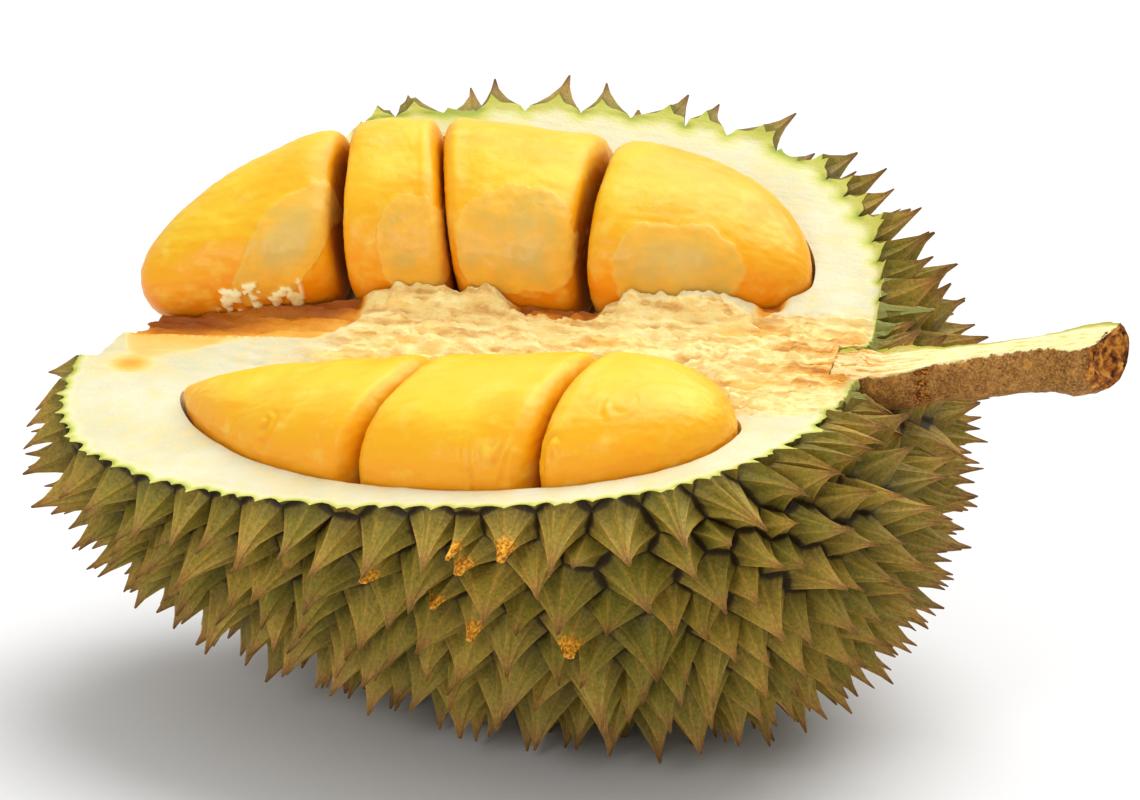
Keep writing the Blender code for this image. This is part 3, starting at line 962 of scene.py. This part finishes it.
store(
    husk_mesh, "POINT",
    height=height,
    # At the back the distance is shortened, which widens the green band there: partly the rim's green skin,
    # partly painted shade on the back rim.
    to_rind=to_rind * (1 - 0.6 * eased(points[:, 1], 0.030, 0.060)),
    torn=wildness(x_here, side),
    # Painted shade in the gap below the back pulp, with the orange pocket near the broken tip added to it.
    stain=gaps * (1 - eased(side, edges + 0.010, edges + 0.016)) + pocket,
    streaked=eased(x_here, 0.066, 0.098) * (1 - eased(np.abs(side), 0.007, 0.020)),
)
print("the stem's end of the core is streaked, and", int((gaps > 0.5).sum()), "points lie in the gap")

# %% [markdown]
# ## Giving a piece its place
# A finished mesh is laid into the world by the fruit's matrix, shaded smooth with its sharp ridges kept,
# hung on the root body and given its finishes, and the solid it stands for is hidden.

# %% Add a finished piece
RIDGE_ANGLE = 33


def add_piece(name, mesh, replaced, materials, ridge_angle=None):
    mesh.transform(FRUIT)
    mesh.name = name
    mesh.materials.clear()
    for material in materials:
        mesh.materials.append(material)
    mesh.shade_smooth()
    if ridge_angle:
        mesh.set_sharp_from_angle(angle=math.radians(ridge_angle))
    piece = add_object(name, mesh)
    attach(piece, "root")
    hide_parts(replaced)
    mesh.calc_loop_triangles()
    print(name, "has", len(mesh.loop_triangles), "triangles")


material_index = numbers(husk_mesh.polygons, "material_index", kind=np.int32)
add_piece("durian_husk", husk_mesh, "husk", [rind, pith], RIDGE_ANGLE)
husk_mesh.polygons.foreach_set("material_index", material_index)

# %% [markdown]
# ## The segments of pulp
# Fresh durian pulp is a soft yellow custard in a skin that just holds it. The skin is not a
# smooth balloon: it sags into broad lumps, and wrinkles where it was pressed against the husk. Each
# segment is the chamber's formula at a fine grain, and then every point is moved a little along its
# own normal by smooth noise.

# %% Make the segments
def noise_at(points, scale, octaves=2, shift=(0.0, 0.0, 0.0)):
    """Smooth noise at each point, between about -1 and 1, scale being one or three cycles per metre."""
    scaled = points * np.asarray(scale) + np.asarray(shift)
    return np.array([noise.fractal(Vector(p), 0.8, 2.0, octaves) for p in scaled])


# Where a film of pith still clings to a back segment: its middle in x (mm) and in turn (degrees), its half
# width and half height in the same units, and how far it leans in mm for each degree.
FILMS = {
    0: (-61.0, 139.0, 12.0, 44.0, -0.16),
    1: (-24.5, 148.0, 10.0, 38.0, 0.04),
    2: (5.0, 140.0, 17.0, 39.0, 0.02),
    3: (50.5, 152.0, 18.5, 37.0, 0.0),
}
# The joints that gape, and how far in metres: the chamber, the segment's number and the end at the gap.
GAPING = {("back", 0, 1): 0.0016, ("back", 1, -1): 0.0016, ("back", 2, 1): 0.0016, ("back", 3, -1): 0.0009}
# How much painted shade a joint gets where the segments press together; a gaping joint gets all of it.
JOINT_PAINTED_SHADE = 0.45


def film_at(number, points, turn):
    """1 in the middle of the film, 0 at its ragged edge and less outside it."""
    x, across, half_width, half_height, lean = FILMS[number]
    degrees = np.degrees(turn) - across
    beside = (1000 * points[:, 0] - x - lean * degrees) / half_width
    film = 1 - (np.abs(beside) ** 2.6 + np.abs(degrees / half_height) ** 2.6) ** (1 / 2.6)
    return film + 0.10 * noise_at(points, 130, 3, (number, 2.0, 0.0))


def joints_of(side, number):
    """The ends of a segment that meet another one, as -1 and 1."""
    last = len(CHAMBERS[side]["ends"]) - 2
    return [end for end, there in ((-1, number > 0), (1, number < last)) if there]


def segment_relief(side, number, points, up, out, level, facing):
    """How far each point of a segment moves along its normal, facing being how much it faces along X."""
    lumps = 0.0009 * noise_at(points, 45, 2, (number * 3.1, 0, 5.0 if side == "front" else 0.0))
    wrinkles = 0.00016 * noise_at(points, (160, 420, 420), 3, (0, number, 0))
    relief = lumps * np.clip(0.4 + out, 0, 1) * (1 - 0.9 * facing) + wrinkles - 0.0003
    for end in joints_of(side, number):
        if (side, number, end) in GAPING:
            open_part = window(up, -1.1, -0.5, 0.1, 0.75)
            relief -= GAPING[side, number, end] * eased(end * level, 0.62, 0.86) * open_part
        else:
            relief += np.minimum(0.0018, 0.00035 / np.maximum(facing, 0.1)) * eased(end * level, 0.50, 0.82)
    return relief


# Where the front pulp is wrinkled: the middle in x (mm), the middle in up and out, and the size in mm.
WRINKLES = ((28.0, 0.87, 9.0), (44.0, 0.95, 7.0), (-41.0, 0.80, 8.0), (60.0, 0.55, 6.0))


def wrinkled(points, up, out):
    """Fine folds in rings round a few places on the front pulp."""
    relief = np.zeros(len(points))
    for x, middle_up, size in WRINKLES:
        wander = 2.5 * noise_at(points, 60, 2, (x, 0, 0))
        reach = np.hypot((1000 * points[:, 0] - x), 24 * (up - middle_up)) + wander
        folds = 0.00050 * np.sin(reach * 2.3) * (1 - eased(reach, 0.4 * size, size))
        relief += folds * eased(noise_at(points, 90, 2, (0, x, 0)), -0.3, 0.3)
    return relief


print("films cling to", len(FILMS), "segments, and", len(GAPING) // 2, "joints gape")

# %% Make them
TUFTED = ("back", 0)
TUFT_TURN = (158, 168, 205, 215)
TUFT_X = (-0.083, -0.077, -0.060, -0.055)


def tufts_on(points, turn):
    """1 where crumbs of pith still cling to the first back segment."""
    ragged = eased(noise_at(points, (330, 210, 210), 4, (7.0, 0, 0)), 0.0, 0.15)
    return ragged * window(np.degrees(turn), *TUFT_TURN) * window(points[:, 0], *TUFT_X)


pulp = bpy.data.materials.new("durian_pulp")
for side, chamber in CHAMBERS.items():
    for i in range(len(chamber["ends"]) - 1):
        name = f"{side}_segment_{i + 1}"
        mesh, up, out, level, turn = pulp_mesh("pulp_" + name, chamber, i, i + 1, 192, 128)
        points, normals = numbers(mesh.vertices, "co", 3), numbers(mesh.vertices, "normal", 3)
        nothing = np.zeros(len(points))
        film = film_at(i, points, turn) if side == "back" else nothing - 1
        tuft = tufts_on(points, turn) if (side, i) == TUFTED else nothing
        relief = segment_relief(side, i, points, up, out, level, np.abs(normals[:, 0]))
        relief += 0.00022 * eased(film, -0.03, 0.06) * (1 + 0.8 * noise_at(points, 300, 2))
        if side == "front":
            relief += wrinkled(points, up, out)
        relief += 0.0011 * tuft
        mesh.vertices.foreach_set("co", (points + normals * relief[:, None]).ravel())
        mesh.update()
        # Painted shade at each joint, full where it gapes and less where the segments press together.
        joint = nothing
        for end in joints_of(side, i):
            darkness = 1.0 if (side, i, end) in GAPING else JOINT_PAINTED_SHADE
            joint = np.maximum(joint, darkness * eased(end * level, 0.68, 0.90))
        store(mesh, "POINT", tuft=tuft, film=film, joint=joint)
        add_piece("pulp_" + name, mesh, name, [pulp])

# %% [markdown]
# ## The stem
# The stem is a woody stalk with a swollen end, rough brown bark below and a long pale knife cut along
# its top. A loft through many rings makes the stalk and noise roughens the bark. Every point that would
# stand over the cut is set down on it. The cut starts at the level of the torn pith and ends as a plane.

# %% The stations along the stem
# The middle of each in x, how far it has risen over the axis, and its radius.
STEM_STATIONS = (
    (0.0990, 0.0000, 0.0080),
    (0.1070, 0.0000, 0.0098),
    (0.1180, 0.0002, 0.0098),
    (0.1255, 0.0006, 0.0084),
    (0.1275, 0.0008, 0.0076),
    (0.1300, 0.0010, 0.0079),
    (0.1420, 0.0024, 0.0075),
    (0.1510, 0.0040, 0.0075),
    (0.1580, 0.0053, 0.0083),
    (0.1635, 0.0063, 0.0102),
    (0.1690, 0.0071, 0.0102),
    (0.1722, 0.0075, 0.0088),
    (0.1727, 0.0075, 0.0066),
    (0.1704, 0.0075, 0.0048),
    (0.1696, 0.0075, 0.0020),
)
KNOB_START, KNOB_END = 0.1560, 0.1727
KNOB_SLANT = math.tan(math.radians(24.0))
FIRST_END_STATION = 10
SLICE_START = Vector((0.1045, 0, 0.0022))
SLICE_END = Vector((0.1610, 0, 0.0122))
SLICE_ROLL = math.radians(9.0)
SLICE_NARROWEST = 0.003
RINGS_BETWEEN = 9
FINE_SIDES = 64


def stem_ring(x, rise, radius):
    slant = KNOB_SLANT * max(0.0, min(1.0, (x - KNOB_START) / (KNOB_END - KNOB_START)))
    ring = []
    for i in range(FINE_SIDES):
        offset = outward(2 * math.pi * i / FINE_SIDES) * radius
        ring.append(Vector((x + slant * offset.y, 0, rise)) + offset)
    return ring


def half_slice(x, rise, radius):
    """Half the width of the flat cut at one station."""
    climb = (SLICE_END.z - SLICE_START.z) / (SLICE_END.x - SLICE_START.x)
    height = SLICE_START.z + (x - SLICE_START.x) * climb - rise
    return math.sqrt(max(radius**2 - height**2, SLICE_NARROWEST**2))


rings, ends, halves = [], [], []
for number, (start, end) in enumerate(zip(STEM_STATIONS, STEM_STATIONS[1:])):
    for k in range(RINGS_BETWEEN):
        share = k / RINGS_BETWEEN
        station = [a + (b - a) * share for a, b in zip(start, end)]
        rings.append(stem_ring(*station))
        ends.append(max(0.0, number + share - FIRST_END_STATION))
        halves.append(half_slice(*station))
rings.append(stem_ring(*STEM_STATIONS[-1]))
ends.append(len(STEM_STATIONS) - 1.0 - FIRST_END_STATION)
halves.append(SLICE_NARROWEST)
stalk = loft(rings)
print("the stalk has", len(stalk.faces), "faces")

# %% Roughen the bark and cut the top flat
along = (SLICE_END - SLICE_START).normalized()
slice_up = along.cross(Vector((0, math.cos(SLICE_ROLL), math.sin(SLICE_ROLL)))).normalized()


def slice_height(x, y):
    """The height of the knife cut, which starts at the level of the torn pith."""
    plane = SLICE_START.z - ((x - SLICE_START.x) * slice_up.x + y * slice_up.y) / slice_up.z
    share = min(1.0, abs(y) / CORE_HALF_WIDTH)
    flank = outward(back_cut(x) if y > 0 else front_cut(x)) * CORE_HALF_WIDTH
    pith_level = CORE_RISE * (1 - share) + flank.z * share + pith_relief(x, y, 1.0)
    return pith_level + (plane - pith_level) * float(eased(x, 0.104, 0.116))


LAYERS = ("over_slice", "far_side", "knob_end", "scarred", "at_foot")
over_slice, far_side, knob_end, scarred, at_foot = (stalk.verts.layers.float.new(name) for name in LAYERS)
stalk.normal_update()
for number, vert in enumerate(stalk.verts):
    x, y, z = vert.co
    ring = number // FINE_SIDES
    ragged = fractal(x * 200, y * 30, 4.4, 3)
    far = y / halves[ring] + 0.12 * ragged
    scab = float(window(x, 0.1105, 0.1125, 0.1175, 0.1200) * eased(far, 0.45, 0.75))
    crack = max(0.0, 0.6 + 1.5 * fractal(y * 200, z * 200, x * 60, 3))
    crack *= float(window(x, 0.1205, 0.1225, 0.1245, 0.1265))
    over = z - slice_height(x, y)
    vert[over_slice] = 1000 * over * (1 - scab) - scab
    vert[far_side] = far
    vert[knob_end] = ends[ring]
    vert[at_foot] = 1 - float(eased(x, 0.104, 0.126))
    vert[scarred] = max(crack, scab)
    if over > 0:
        grain = 0.00012 * fractal(x * 40, y * 900, 0, 2) - 0.0003 * float(eased(far, 0.6, 1.0))
        grain += scab * min(over, 0.0012 + 0.0012 * ragged)
        vert.co.z -= over - grain
    else:
        scurf = 0.00030 * fractal(x * 300, y * 500, z * 500, 3) - 0.0003
        vert.co += vert.normal * (scurf - 0.0009 * min(1.0, crack))
    if ends[ring] > 1:
        vert.co.x += 0.0011 * fractal(x * 100, y * 420, z * 420, 3) - 0.0007
bark = bpy.data.materials.new("durian_bark")
add_piece("durian_stem", mesh_of(stalk, "durian_stem"), "stem", [bark])

# %% [markdown]
# ## What finishes are mixed from
# Every material is the same shader with its own tree of nodes before it. A colour starts as a ramp, and
# further colours are laid over it, each where its mask says so. Noise makes the masks ragged.

# %% The steps of a finish
class Finish(Tree):
    def __init__(self, material, **inputs):
        """Turns on nodes and fills the shader's own sockets with plain values."""
        material.use_nodes = True
        super().__init__(material.node_tree)
        self.shader = self.tree.nodes["Principled BSDF"]
        for name, value in inputs.items():
            self.shader.inputs[name.replace("_", " ")].default_value = value

    def attribute(self, name, output="Fac"):
        return self.add("ShaderNodeAttribute", attribute_name=name).outputs[output]

    def drawn_out(self, squeeze):
        """The place in the object, which draws noise out along X where squeeze is below 1."""
        place = self.add("ShaderNodeTexCoord").outputs["Object"]
        return self.add("ShaderNodeMapping", {"Vector": place, "Scale": (squeeze, 1.0, 1.0)}).outputs[0]

    def speckle(self, scale, detail, place=None):
        """Noise with this many specks in a metre, at the place in the object or at one that is given."""
        if place is None:
            place = self.add("ShaderNodeTexCoord").outputs["Object"]
        inputs = {"Vector": place, "Scale": scale, "Detail": detail, "Roughness": 0.55}
        return self.add("ShaderNodeTexNoise", inputs).outputs["Fac"]

    def between(self, value, low, high, most=1.0):
        """0 below low, and most above high."""
        inputs = {"Value": value, "From Min": low, "From Max": high, "To Max": most}
        return self.add("ShaderNodeMapRange", inputs, clamp=True).outputs[0]

    def frayed(self, value, noise_value, amount):
        """The value moved up and down by noise, by half the amount each way."""
        return self.plus(value, self.maths("MULTIPLY_ADD", noise_value, amount, -amount / 2))

    def ramp(self, factor, *stops):
        """A colour ramp through stops of place, red, green and blue."""
        node = self.add("ShaderNodeValToRGB", {"Fac": factor})
        elements = node.color_ramp.elements
        while len(elements) < len(stops):
            elements.new(0.5)
        for element, (place, *color) in zip(elements, stops):
            element.position, element.color = place, (*color, 1)
        return node.outputs["Color"]

    def blend(self, factor, a, b, mode="MIX"):
        inputs = {0: factor}
        for key, value in ((6, a), (7, b)):
            inputs[key] = (*value, 1) if isinstance(value, tuple) else value
        return self.add("ShaderNodeMix", inputs, data_type="RGBA", blend_type=mode).outputs[2]

    def paint(self, color, *coats):
        """The colour with each coat over it, a coat being a mask and its own colour."""
        for mask, coat in coats:
            color = self.blend(mask, color, coat)
        return color

    def end(self, color, relief, strength, depth):
        """Gives the shader its colour, and the relief that bends its surface."""
        inputs = {"Height": relief, "Strength": strength, "Distance": depth}
        bent = self.add("ShaderNodeBump", inputs).outputs[0]
        self.tree.links.new(color, self.shader.inputs["Base Color"])
        self.tree.links.new(bent, self.shader.inputs["Normal"])
        print("this finish has", len(self.tree.nodes), "nodes")


print("the steps of a finish:", ", ".join(name for name in vars(Finish) if name[0] != "_"))

# %% [markdown]
# ## The finish of the rind
# Durian rind is olive green turning brown. Each spine is a little different, its tip is dry and brown,
# and faint lines run down its sides. Painted shade darkens its foot and the cracks that part it from its
# neighbours, and its ridges are painted a lighter tan, partly their own colour and partly a painted highlight.
# The material reads the attributes for where it is, and adds noise for what is random.

# %% Rind
mix = Finish(rind, Roughness=0.55, Specular_IOR_Level=0.25)
rise_up, lucky, ridge = mix.attribute("rise"), mix.attribute("luck"), mix.attribute("ridge")
streaks = mix.speckle(430, 3, mix.attribute("foot", "Vector"))
grain, patches = mix.speckle(1100, 4), mix.speckle(34, 3)
# Both ramps start nearly black at the foot of a spine, which is painted shade in the valleys between spines,
# and end in the dry brown tip.
brown = mix.ramp(
    rise_up,
    (0.0, 0.047, 0.027, 0.006), (0.06, 0.153, 0.105, 0.014), (0.32, 0.266, 0.185, 0.022),
    (0.54, 0.335, 0.228, 0.033), (0.76, 0.355, 0.185, 0.040), (0.95, 0.165, 0.068, 0.016),
)
green = mix.ramp(
    rise_up,
    (0.0, 0.04, 0.03, 0.006), (0.06, 0.126, 0.105, 0.011), (0.35, 0.233, 0.194, 0.018),
    (0.58, 0.295, 0.232, 0.03), (0.79, 0.330, 0.182, 0.040), (0.96, 0.165, 0.070, 0.016),
)
# The ridges are painted a lighter tan, partly their own colour and partly a painted highlight.
on_ridge = mix.times(mix.between(ridge, 0.72, 1.0), mix.between(rise_up, 0.08, 0.4))
color = mix.paint(
    green,
    (mix.between(lucky, 0.35, 1.0), brown),
    (mix.between(patches, 0.47, 0.68), brown),
    (mix.between(streaks, 0.48, 0.72, 0.35), (0.492, 0.325, 0.052)),
    (mix.times(on_ridge, 0.6), (0.559, 0.268, 0.043)),
)
shade = mix.maths("MULTIPLY_ADD", grain, 1.3, 0.33)
shade = mix.times(shade, mix.maths("MULTIPLY_ADD", lucky, 0.4, 0.8))
shade = mix.add("ShaderNodeCombineColor", {0: shade, 1: shade, 2: shade}).outputs[0]
color = mix.blend(1.0, color, shade, "MULTIPLY")
# Painted shade: where rise is below 0.05, in the cracks between spines, the colour is nearly black.
crack = mix.from_one(mix.between(rise_up, 0.0, 0.05))
crumbs = mix.times(mix.attribute("stump"), mix.between(rise_up, 0.50, 0.66))
crumb_color = mix.ramp(
    grain, (0.36, 0.266, 0.08, 0.006), (0.5, 0.732, 0.274, 0.015), (0.64, 0.958, 0.547, 0.045)
)
color = mix.paint(color, (mix.times(crack, 0.9), (0.029, 0.016, 0.004)), (crumbs, crumb_color))
mix.end(color, mix.plus(mix.times(streaks, 1.2), mix.times(grain, 0.6)), 0.6, 0.0007)

# %% [markdown]
# ## The finish of the pith
# Where the husk was cut, a thin green skin shows at the rim, then cream flesh; the cut spines are a fresh
# yellow green. The green band is widened at the back rim, partly as painted shade. Towards the torn core
# the fibres dry to peach and tan, with orange streaks at the stem, and the gaps below the pulp carry painted
# shade, orange at their near edge and dark brown under the pulp; a small orange pocket shows near the
# broken tip. The attributes say where each colour belongs.

# %% Pith
mix = Finish(
    pith, Roughness=0.6, Specular_IOR_Level=0.3,
    Subsurface_Weight=0.2, Subsurface_Radius=(0.003, 0.002, 0.001), Subsurface_Scale=1.0,
)
over_skin, stain = mix.attribute("height"), mix.attribute("stain")
along_x = mix.drawn_out(0.2)
fibres, pores = mix.speckle(330, 5, along_x), mix.speckle(900, 3)
cloudy, heaps = mix.speckle(45, 3), mix.speckle(95, 3, along_x)
cream = mix.ramp(cloudy, (0.35, 0.70, 0.65, 0.395), (0.6, 0.75, 0.72, 0.495))
dried = mix.ramp(
    fibres, (0.34, 0.66, 0.367, 0.079), (0.43, 0.858, 0.571, 0.178),
    (0.52, 0.946, 0.745, 0.297), (0.64, 0.98, 0.857, 0.409),
)
peach = mix.ramp(fibres, (0.36, 0.836, 0.408, 0.053), (0.50, 0.968, 0.622, 0.145), (0.66, 0.98, 0.796, 0.277))
orange = mix.ramp(fibres, (0.34, 0.50, 0.16, 0.012), (0.47, 0.84, 0.42, 0.06), (0.60, 0.93, 0.72, 0.30))
# Painted shade in the gaps below the back pulp, pale orange at the near edge to dark brown under the pulp; the
# orange pocket takes its middle colours.
gap_color = mix.ramp(
    mix.frayed(stain, heaps, 0.6), (0.15, 0.94, 0.72, 0.30), (0.45, 0.92, 0.50, 0.07),
    (0.75, 0.78, 0.29, 0.015), (1.0, 0.34, 0.085, 0.004),
)
near_rind = mix.frayed(mix.attribute("to_rind"), mix.times(mix.plus(cloudy, heaps), 0.5), 3.6)
edge_color = mix.ramp(
    mix.times(near_rind, 0.25), (0.04, 0.36, 0.42, 0.05), (0.22, 0.62, 0.62, 0.14), (0.6, 0.82, 0.77, 0.42)
)
cut_spine = mix.ramp(
    mix.times(over_skin, 0.08), (0.05, 0.66, 0.66, 0.16), (0.4, 0.50, 0.52, 0.07), (1.0, 0.22, 0.22, 0.04)
)
color = mix.paint(
    cream,
    (mix.between(mix.speckle(150, 5), 0.48, 0.66, 0.55), (0.84, 0.68, 0.29)),
    (
        mix.between(mix.frayed(mix.attribute("torn"), heaps, 0.6), 0.25, 0.75, 0.9),
        mix.blend(mix.between(heaps, 0.50, 0.62), dried, peach),
    ),
    (mix.times(mix.attribute("streaked"), mix.between(heaps, 0.38, 0.56)), orange),
    (mix.between(stain, 0.0, 0.25), gap_color),
    (mix.between(near_rind, 3.6, 1.0), edge_color),
    (mix.between(over_skin, 0.6, 2.0), cut_spine),
)
mix.end(color, mix.plus(fibres, mix.times(pores, 0.5)), 0.7, 0.0007)

# %% [markdown]
# ## The finish of the pulp
# Light goes some way into the pulp and comes out again warm, so the shader scatters it under the surface.
# The colour runs from lemon yellow where the surface faces up to orange where it faces down, which is painted
# light and shade, in soft clouds; light yellow mottles are painted highlights, and the skin has a moist shine.
# Painted shade darkens the joints, a painted highlight runs along the films' edges, and films and tufts of
# pith still cling to the back segments.

# %% Pulp
mix = Finish(
    pulp, Roughness=0.36, Specular_IOR_Level=0.3,
    Subsurface_Weight=0.25, Subsurface_Radius=(0.006, 0.003, 0.0006), Subsurface_Scale=1.0,
)
clouds, mottle = mix.speckle(38, 3), mix.speckle(120, 3)
# Painted light and shade: the pulp's colour follows how far its surface faces up, lemon yellow on top and
# orange below.
normal = mix.add("ShaderNodeNewGeometry").outputs["Normal"]
painted_light_by_facing = mix.add("ShaderNodeSeparateXYZ", {0: normal}).outputs[2]
ragged = mix.frayed(mix.attribute("film"), mix.speckle(420, 4), 0.16)
greyed = mix.times(mix.between(ragged, 0.25, 0.6, 0.6), mix.between(clouds, 0.40, 0.60))
film_color = mix.paint(
    mix.ramp(mottle, (0.34, 0.70, 0.45, 0.075), (0.5, 0.83, 0.46, 0.05), (0.66, 0.90, 0.50, 0.05)),
    (greyed, (0.62, 0.50, 0.17)),
    # Along the film's ragged edge the colour turns a lighter orange: a painted highlight.
    (mix.between(ragged, 0.10, 0.0, 0.6), (0.94, 0.60, 0.12)),
)
color = mix.paint(
    mix.ramp(
        mix.maths("MULTIPLY_ADD", mix.frayed(painted_light_by_facing, clouds, 1.0), 0.5, 0.35),
        (0.18, 0.84, 0.29, 0.004), (0.44, 0.90, 0.385, 0.004),
        (0.68, 0.86, 0.43, 0.004), (0.86, 0.82, 0.60, 0.028),
    ),
    # Light yellow mottles at random over the pulp: painted highlights.
    (mix.between(mottle, 0.54, 0.70, 0.35), (0.88, 0.70, 0.12)),
    # Painted shade at the joints between segments, deepest where they gape.
    (mix.times(mix.attribute("joint"), 0.75), (0.42, 0.10, 0.006)),
    (mix.between(ragged, -0.01, 0.07, 0.85), film_color),
    (mix.between(mix.attribute("tuft"), 0.1, 0.4), (0.95, 0.86, 0.50)),
)
mix.end(color, mix.plus(mix.speckle(300, 4), mix.between(ragged, 0.0, 0.04, 0.8)), 0.35, 0.0007)

# %% [markdown]
# ## The finish of the bark
# Brown scurfy bark, with the fresh wood of the knife cut pale yellow and edged in green. The bark is
# scarred in one place, and the knob's end is pitted.

# %% Bark
mix = Finish(bark, Roughness=0.75, Specular_IOR_Level=0.2)
far, at_foot = mix.attribute("far_side"), mix.attribute("at_foot")
scurf, specks = mix.speckle(380, 4), mix.speckle(1500, 4)
wood = mix.speckle(900, 3, mix.drawn_out(0.12))
cut_wood = mix.paint(
    mix.ramp(wood, (0.3, 0.80, 0.56, 0.15), (0.45, 0.92, 0.80, 0.36), (0.65, 0.95, 0.90, 0.52)),
    (mix.times(at_foot, 0.7), (0.93, 0.66, 0.27)),
    (mix.times(at_foot, mix.between(wood, 0.54, 0.42)), (0.70, 0.28, 0.03)),
    (mix.between(far, 0.42, 0.66), (0.46, 0.44, 0.04)),
    (mix.between(far, 0.80, 0.95), (0.20, 0.13, 0.02)),
)
scar = mix.ramp(specks, (0.40, 0.09, 0.025, 0.005), (0.52, 0.24, 0.075, 0.010), (0.62, 0.66, 0.27, 0.03))
pit = mix.ramp(scurf, (0.38, 0.05, 0.012, 0.003), (0.52, 0.36, 0.11, 0.012), (0.62, 0.70, 0.30, 0.04))
color = mix.paint(
    mix.ramp(scurf, (0.32, 0.22, 0.090, 0.018), (0.5, 0.32, 0.140, 0.028), (0.66, 0.44, 0.205, 0.045)),
    (mix.between(specks, 0.50, 0.66, 0.8), (0.56, 0.30, 0.09)),
    (mix.between(specks, 0.42, 0.32), (0.10, 0.036, 0.008)),
    (mix.between(mix.attribute("scarred"), 0.2, 0.6), scar),
    (mix.between(mix.maths("MULTIPLY_ADD", scurf, 2.0, mix.attribute("knob_end")), 1.2, 1.6), pit),
    (mix.between(mix.frayed(mix.attribute("over_slice"), scurf, 3.0), -0.15, 0.15), cut_wood),
)
mix.end(color, mix.plus(scurf, specks), 0.6, 0.0006)

# %% [markdown]
# ## The table, the light and the camera
# The fruit lies on a plain pale table. A softened sun stands high behind it on the right and a weak lamp
# in front, and the white surroundings fill the rest, so that no shadow is hard.

# %% Table
floor_mesh = bpy.data.meshes.new("table_top")
floor_mesh.from_pydata([(-6, -6, 0), (6, -6, 0), (6, 6, 0), (-6, 6, 0)], [], [(0, 1, 2, 3)])
pale = bpy.data.materials.new("pale_table")
Finish(pale, Roughness=0.8, Base_Color=(0.82, 0.82, 0.82, 1))
floor_mesh.materials.append(pale)
floor = add_object("table_top", floor_mesh)
print("the table is 12 m wide")

# %% Light
def add_lamp(name, place, target, size, power):
    data = bpy.data.lights.new(name, "AREA")
    data.shape, data.size, data.energy = "DISK", size, power
    lamp = add_object(name, data)
    lamp.location = place
    lamp.rotation_euler = (Vector(target) - Vector(place)).to_track_quat("-Z", "Y").to_euler()


def add_sun(name, elevation, side, strength, spread):
    """A sun whose light comes from this elevation and side, softened over spread degrees of sky."""
    data = bpy.data.lights.new(name, "SUN")
    data.energy, data.angle = strength, math.radians(spread)
    add_object(name, data).rotation_euler = (math.radians(90 - elevation), 0, math.radians(side))


add_sun("soft_overhead", elevation=62, side=150, strength=2.5, spread=60)
add_lamp("front_fill", place=(-0.4, -1.3, 0.8), target=(0, 0, 0.05), size=0.5, power=5)
world = bpy.data.worlds.new("white_surroundings")
bpy.context.scene.world = world
world.use_nodes = True
background = world.node_tree.nodes["Background"]
background.inputs["Color"].default_value = (1, 1, 1, 1)
background.inputs["Strength"].default_value = 0.62
bpy.context.scene.view_settings.view_transform = "Standard"
print("two lamps and a white world")

# %% Camera
CAMERA_SIDE = math.radians(16.4)
CAMERA_HEIGHT = math.radians(16.6)
camera_data = bpy.data.cameras.new("camera")
camera_data.sensor_fit, camera_data.sensor_width, camera_data.lens = "HORIZONTAL", 36, 114.82
camera_data.shift_x, camera_data.shift_y = 0.0782, -0.0375
camera_data.clip_start = 0.01
camera = add_object("camera", camera_data)
away = Vector((
    math.sin(CAMERA_SIDE) * math.cos(CAMERA_HEIGHT),
    -math.cos(CAMERA_SIDE) * math.cos(CAMERA_HEIGHT),
    math.sin(CAMERA_HEIGHT),
))
camera.location = AXIS_PLACE + away
camera.rotation_euler = (-away).to_track_quat("-Z", "Y").to_euler()
bpy.context.scene.camera = camera
print("the camera is", round(camera.location.length, 2), "m away")

# %% [markdown]
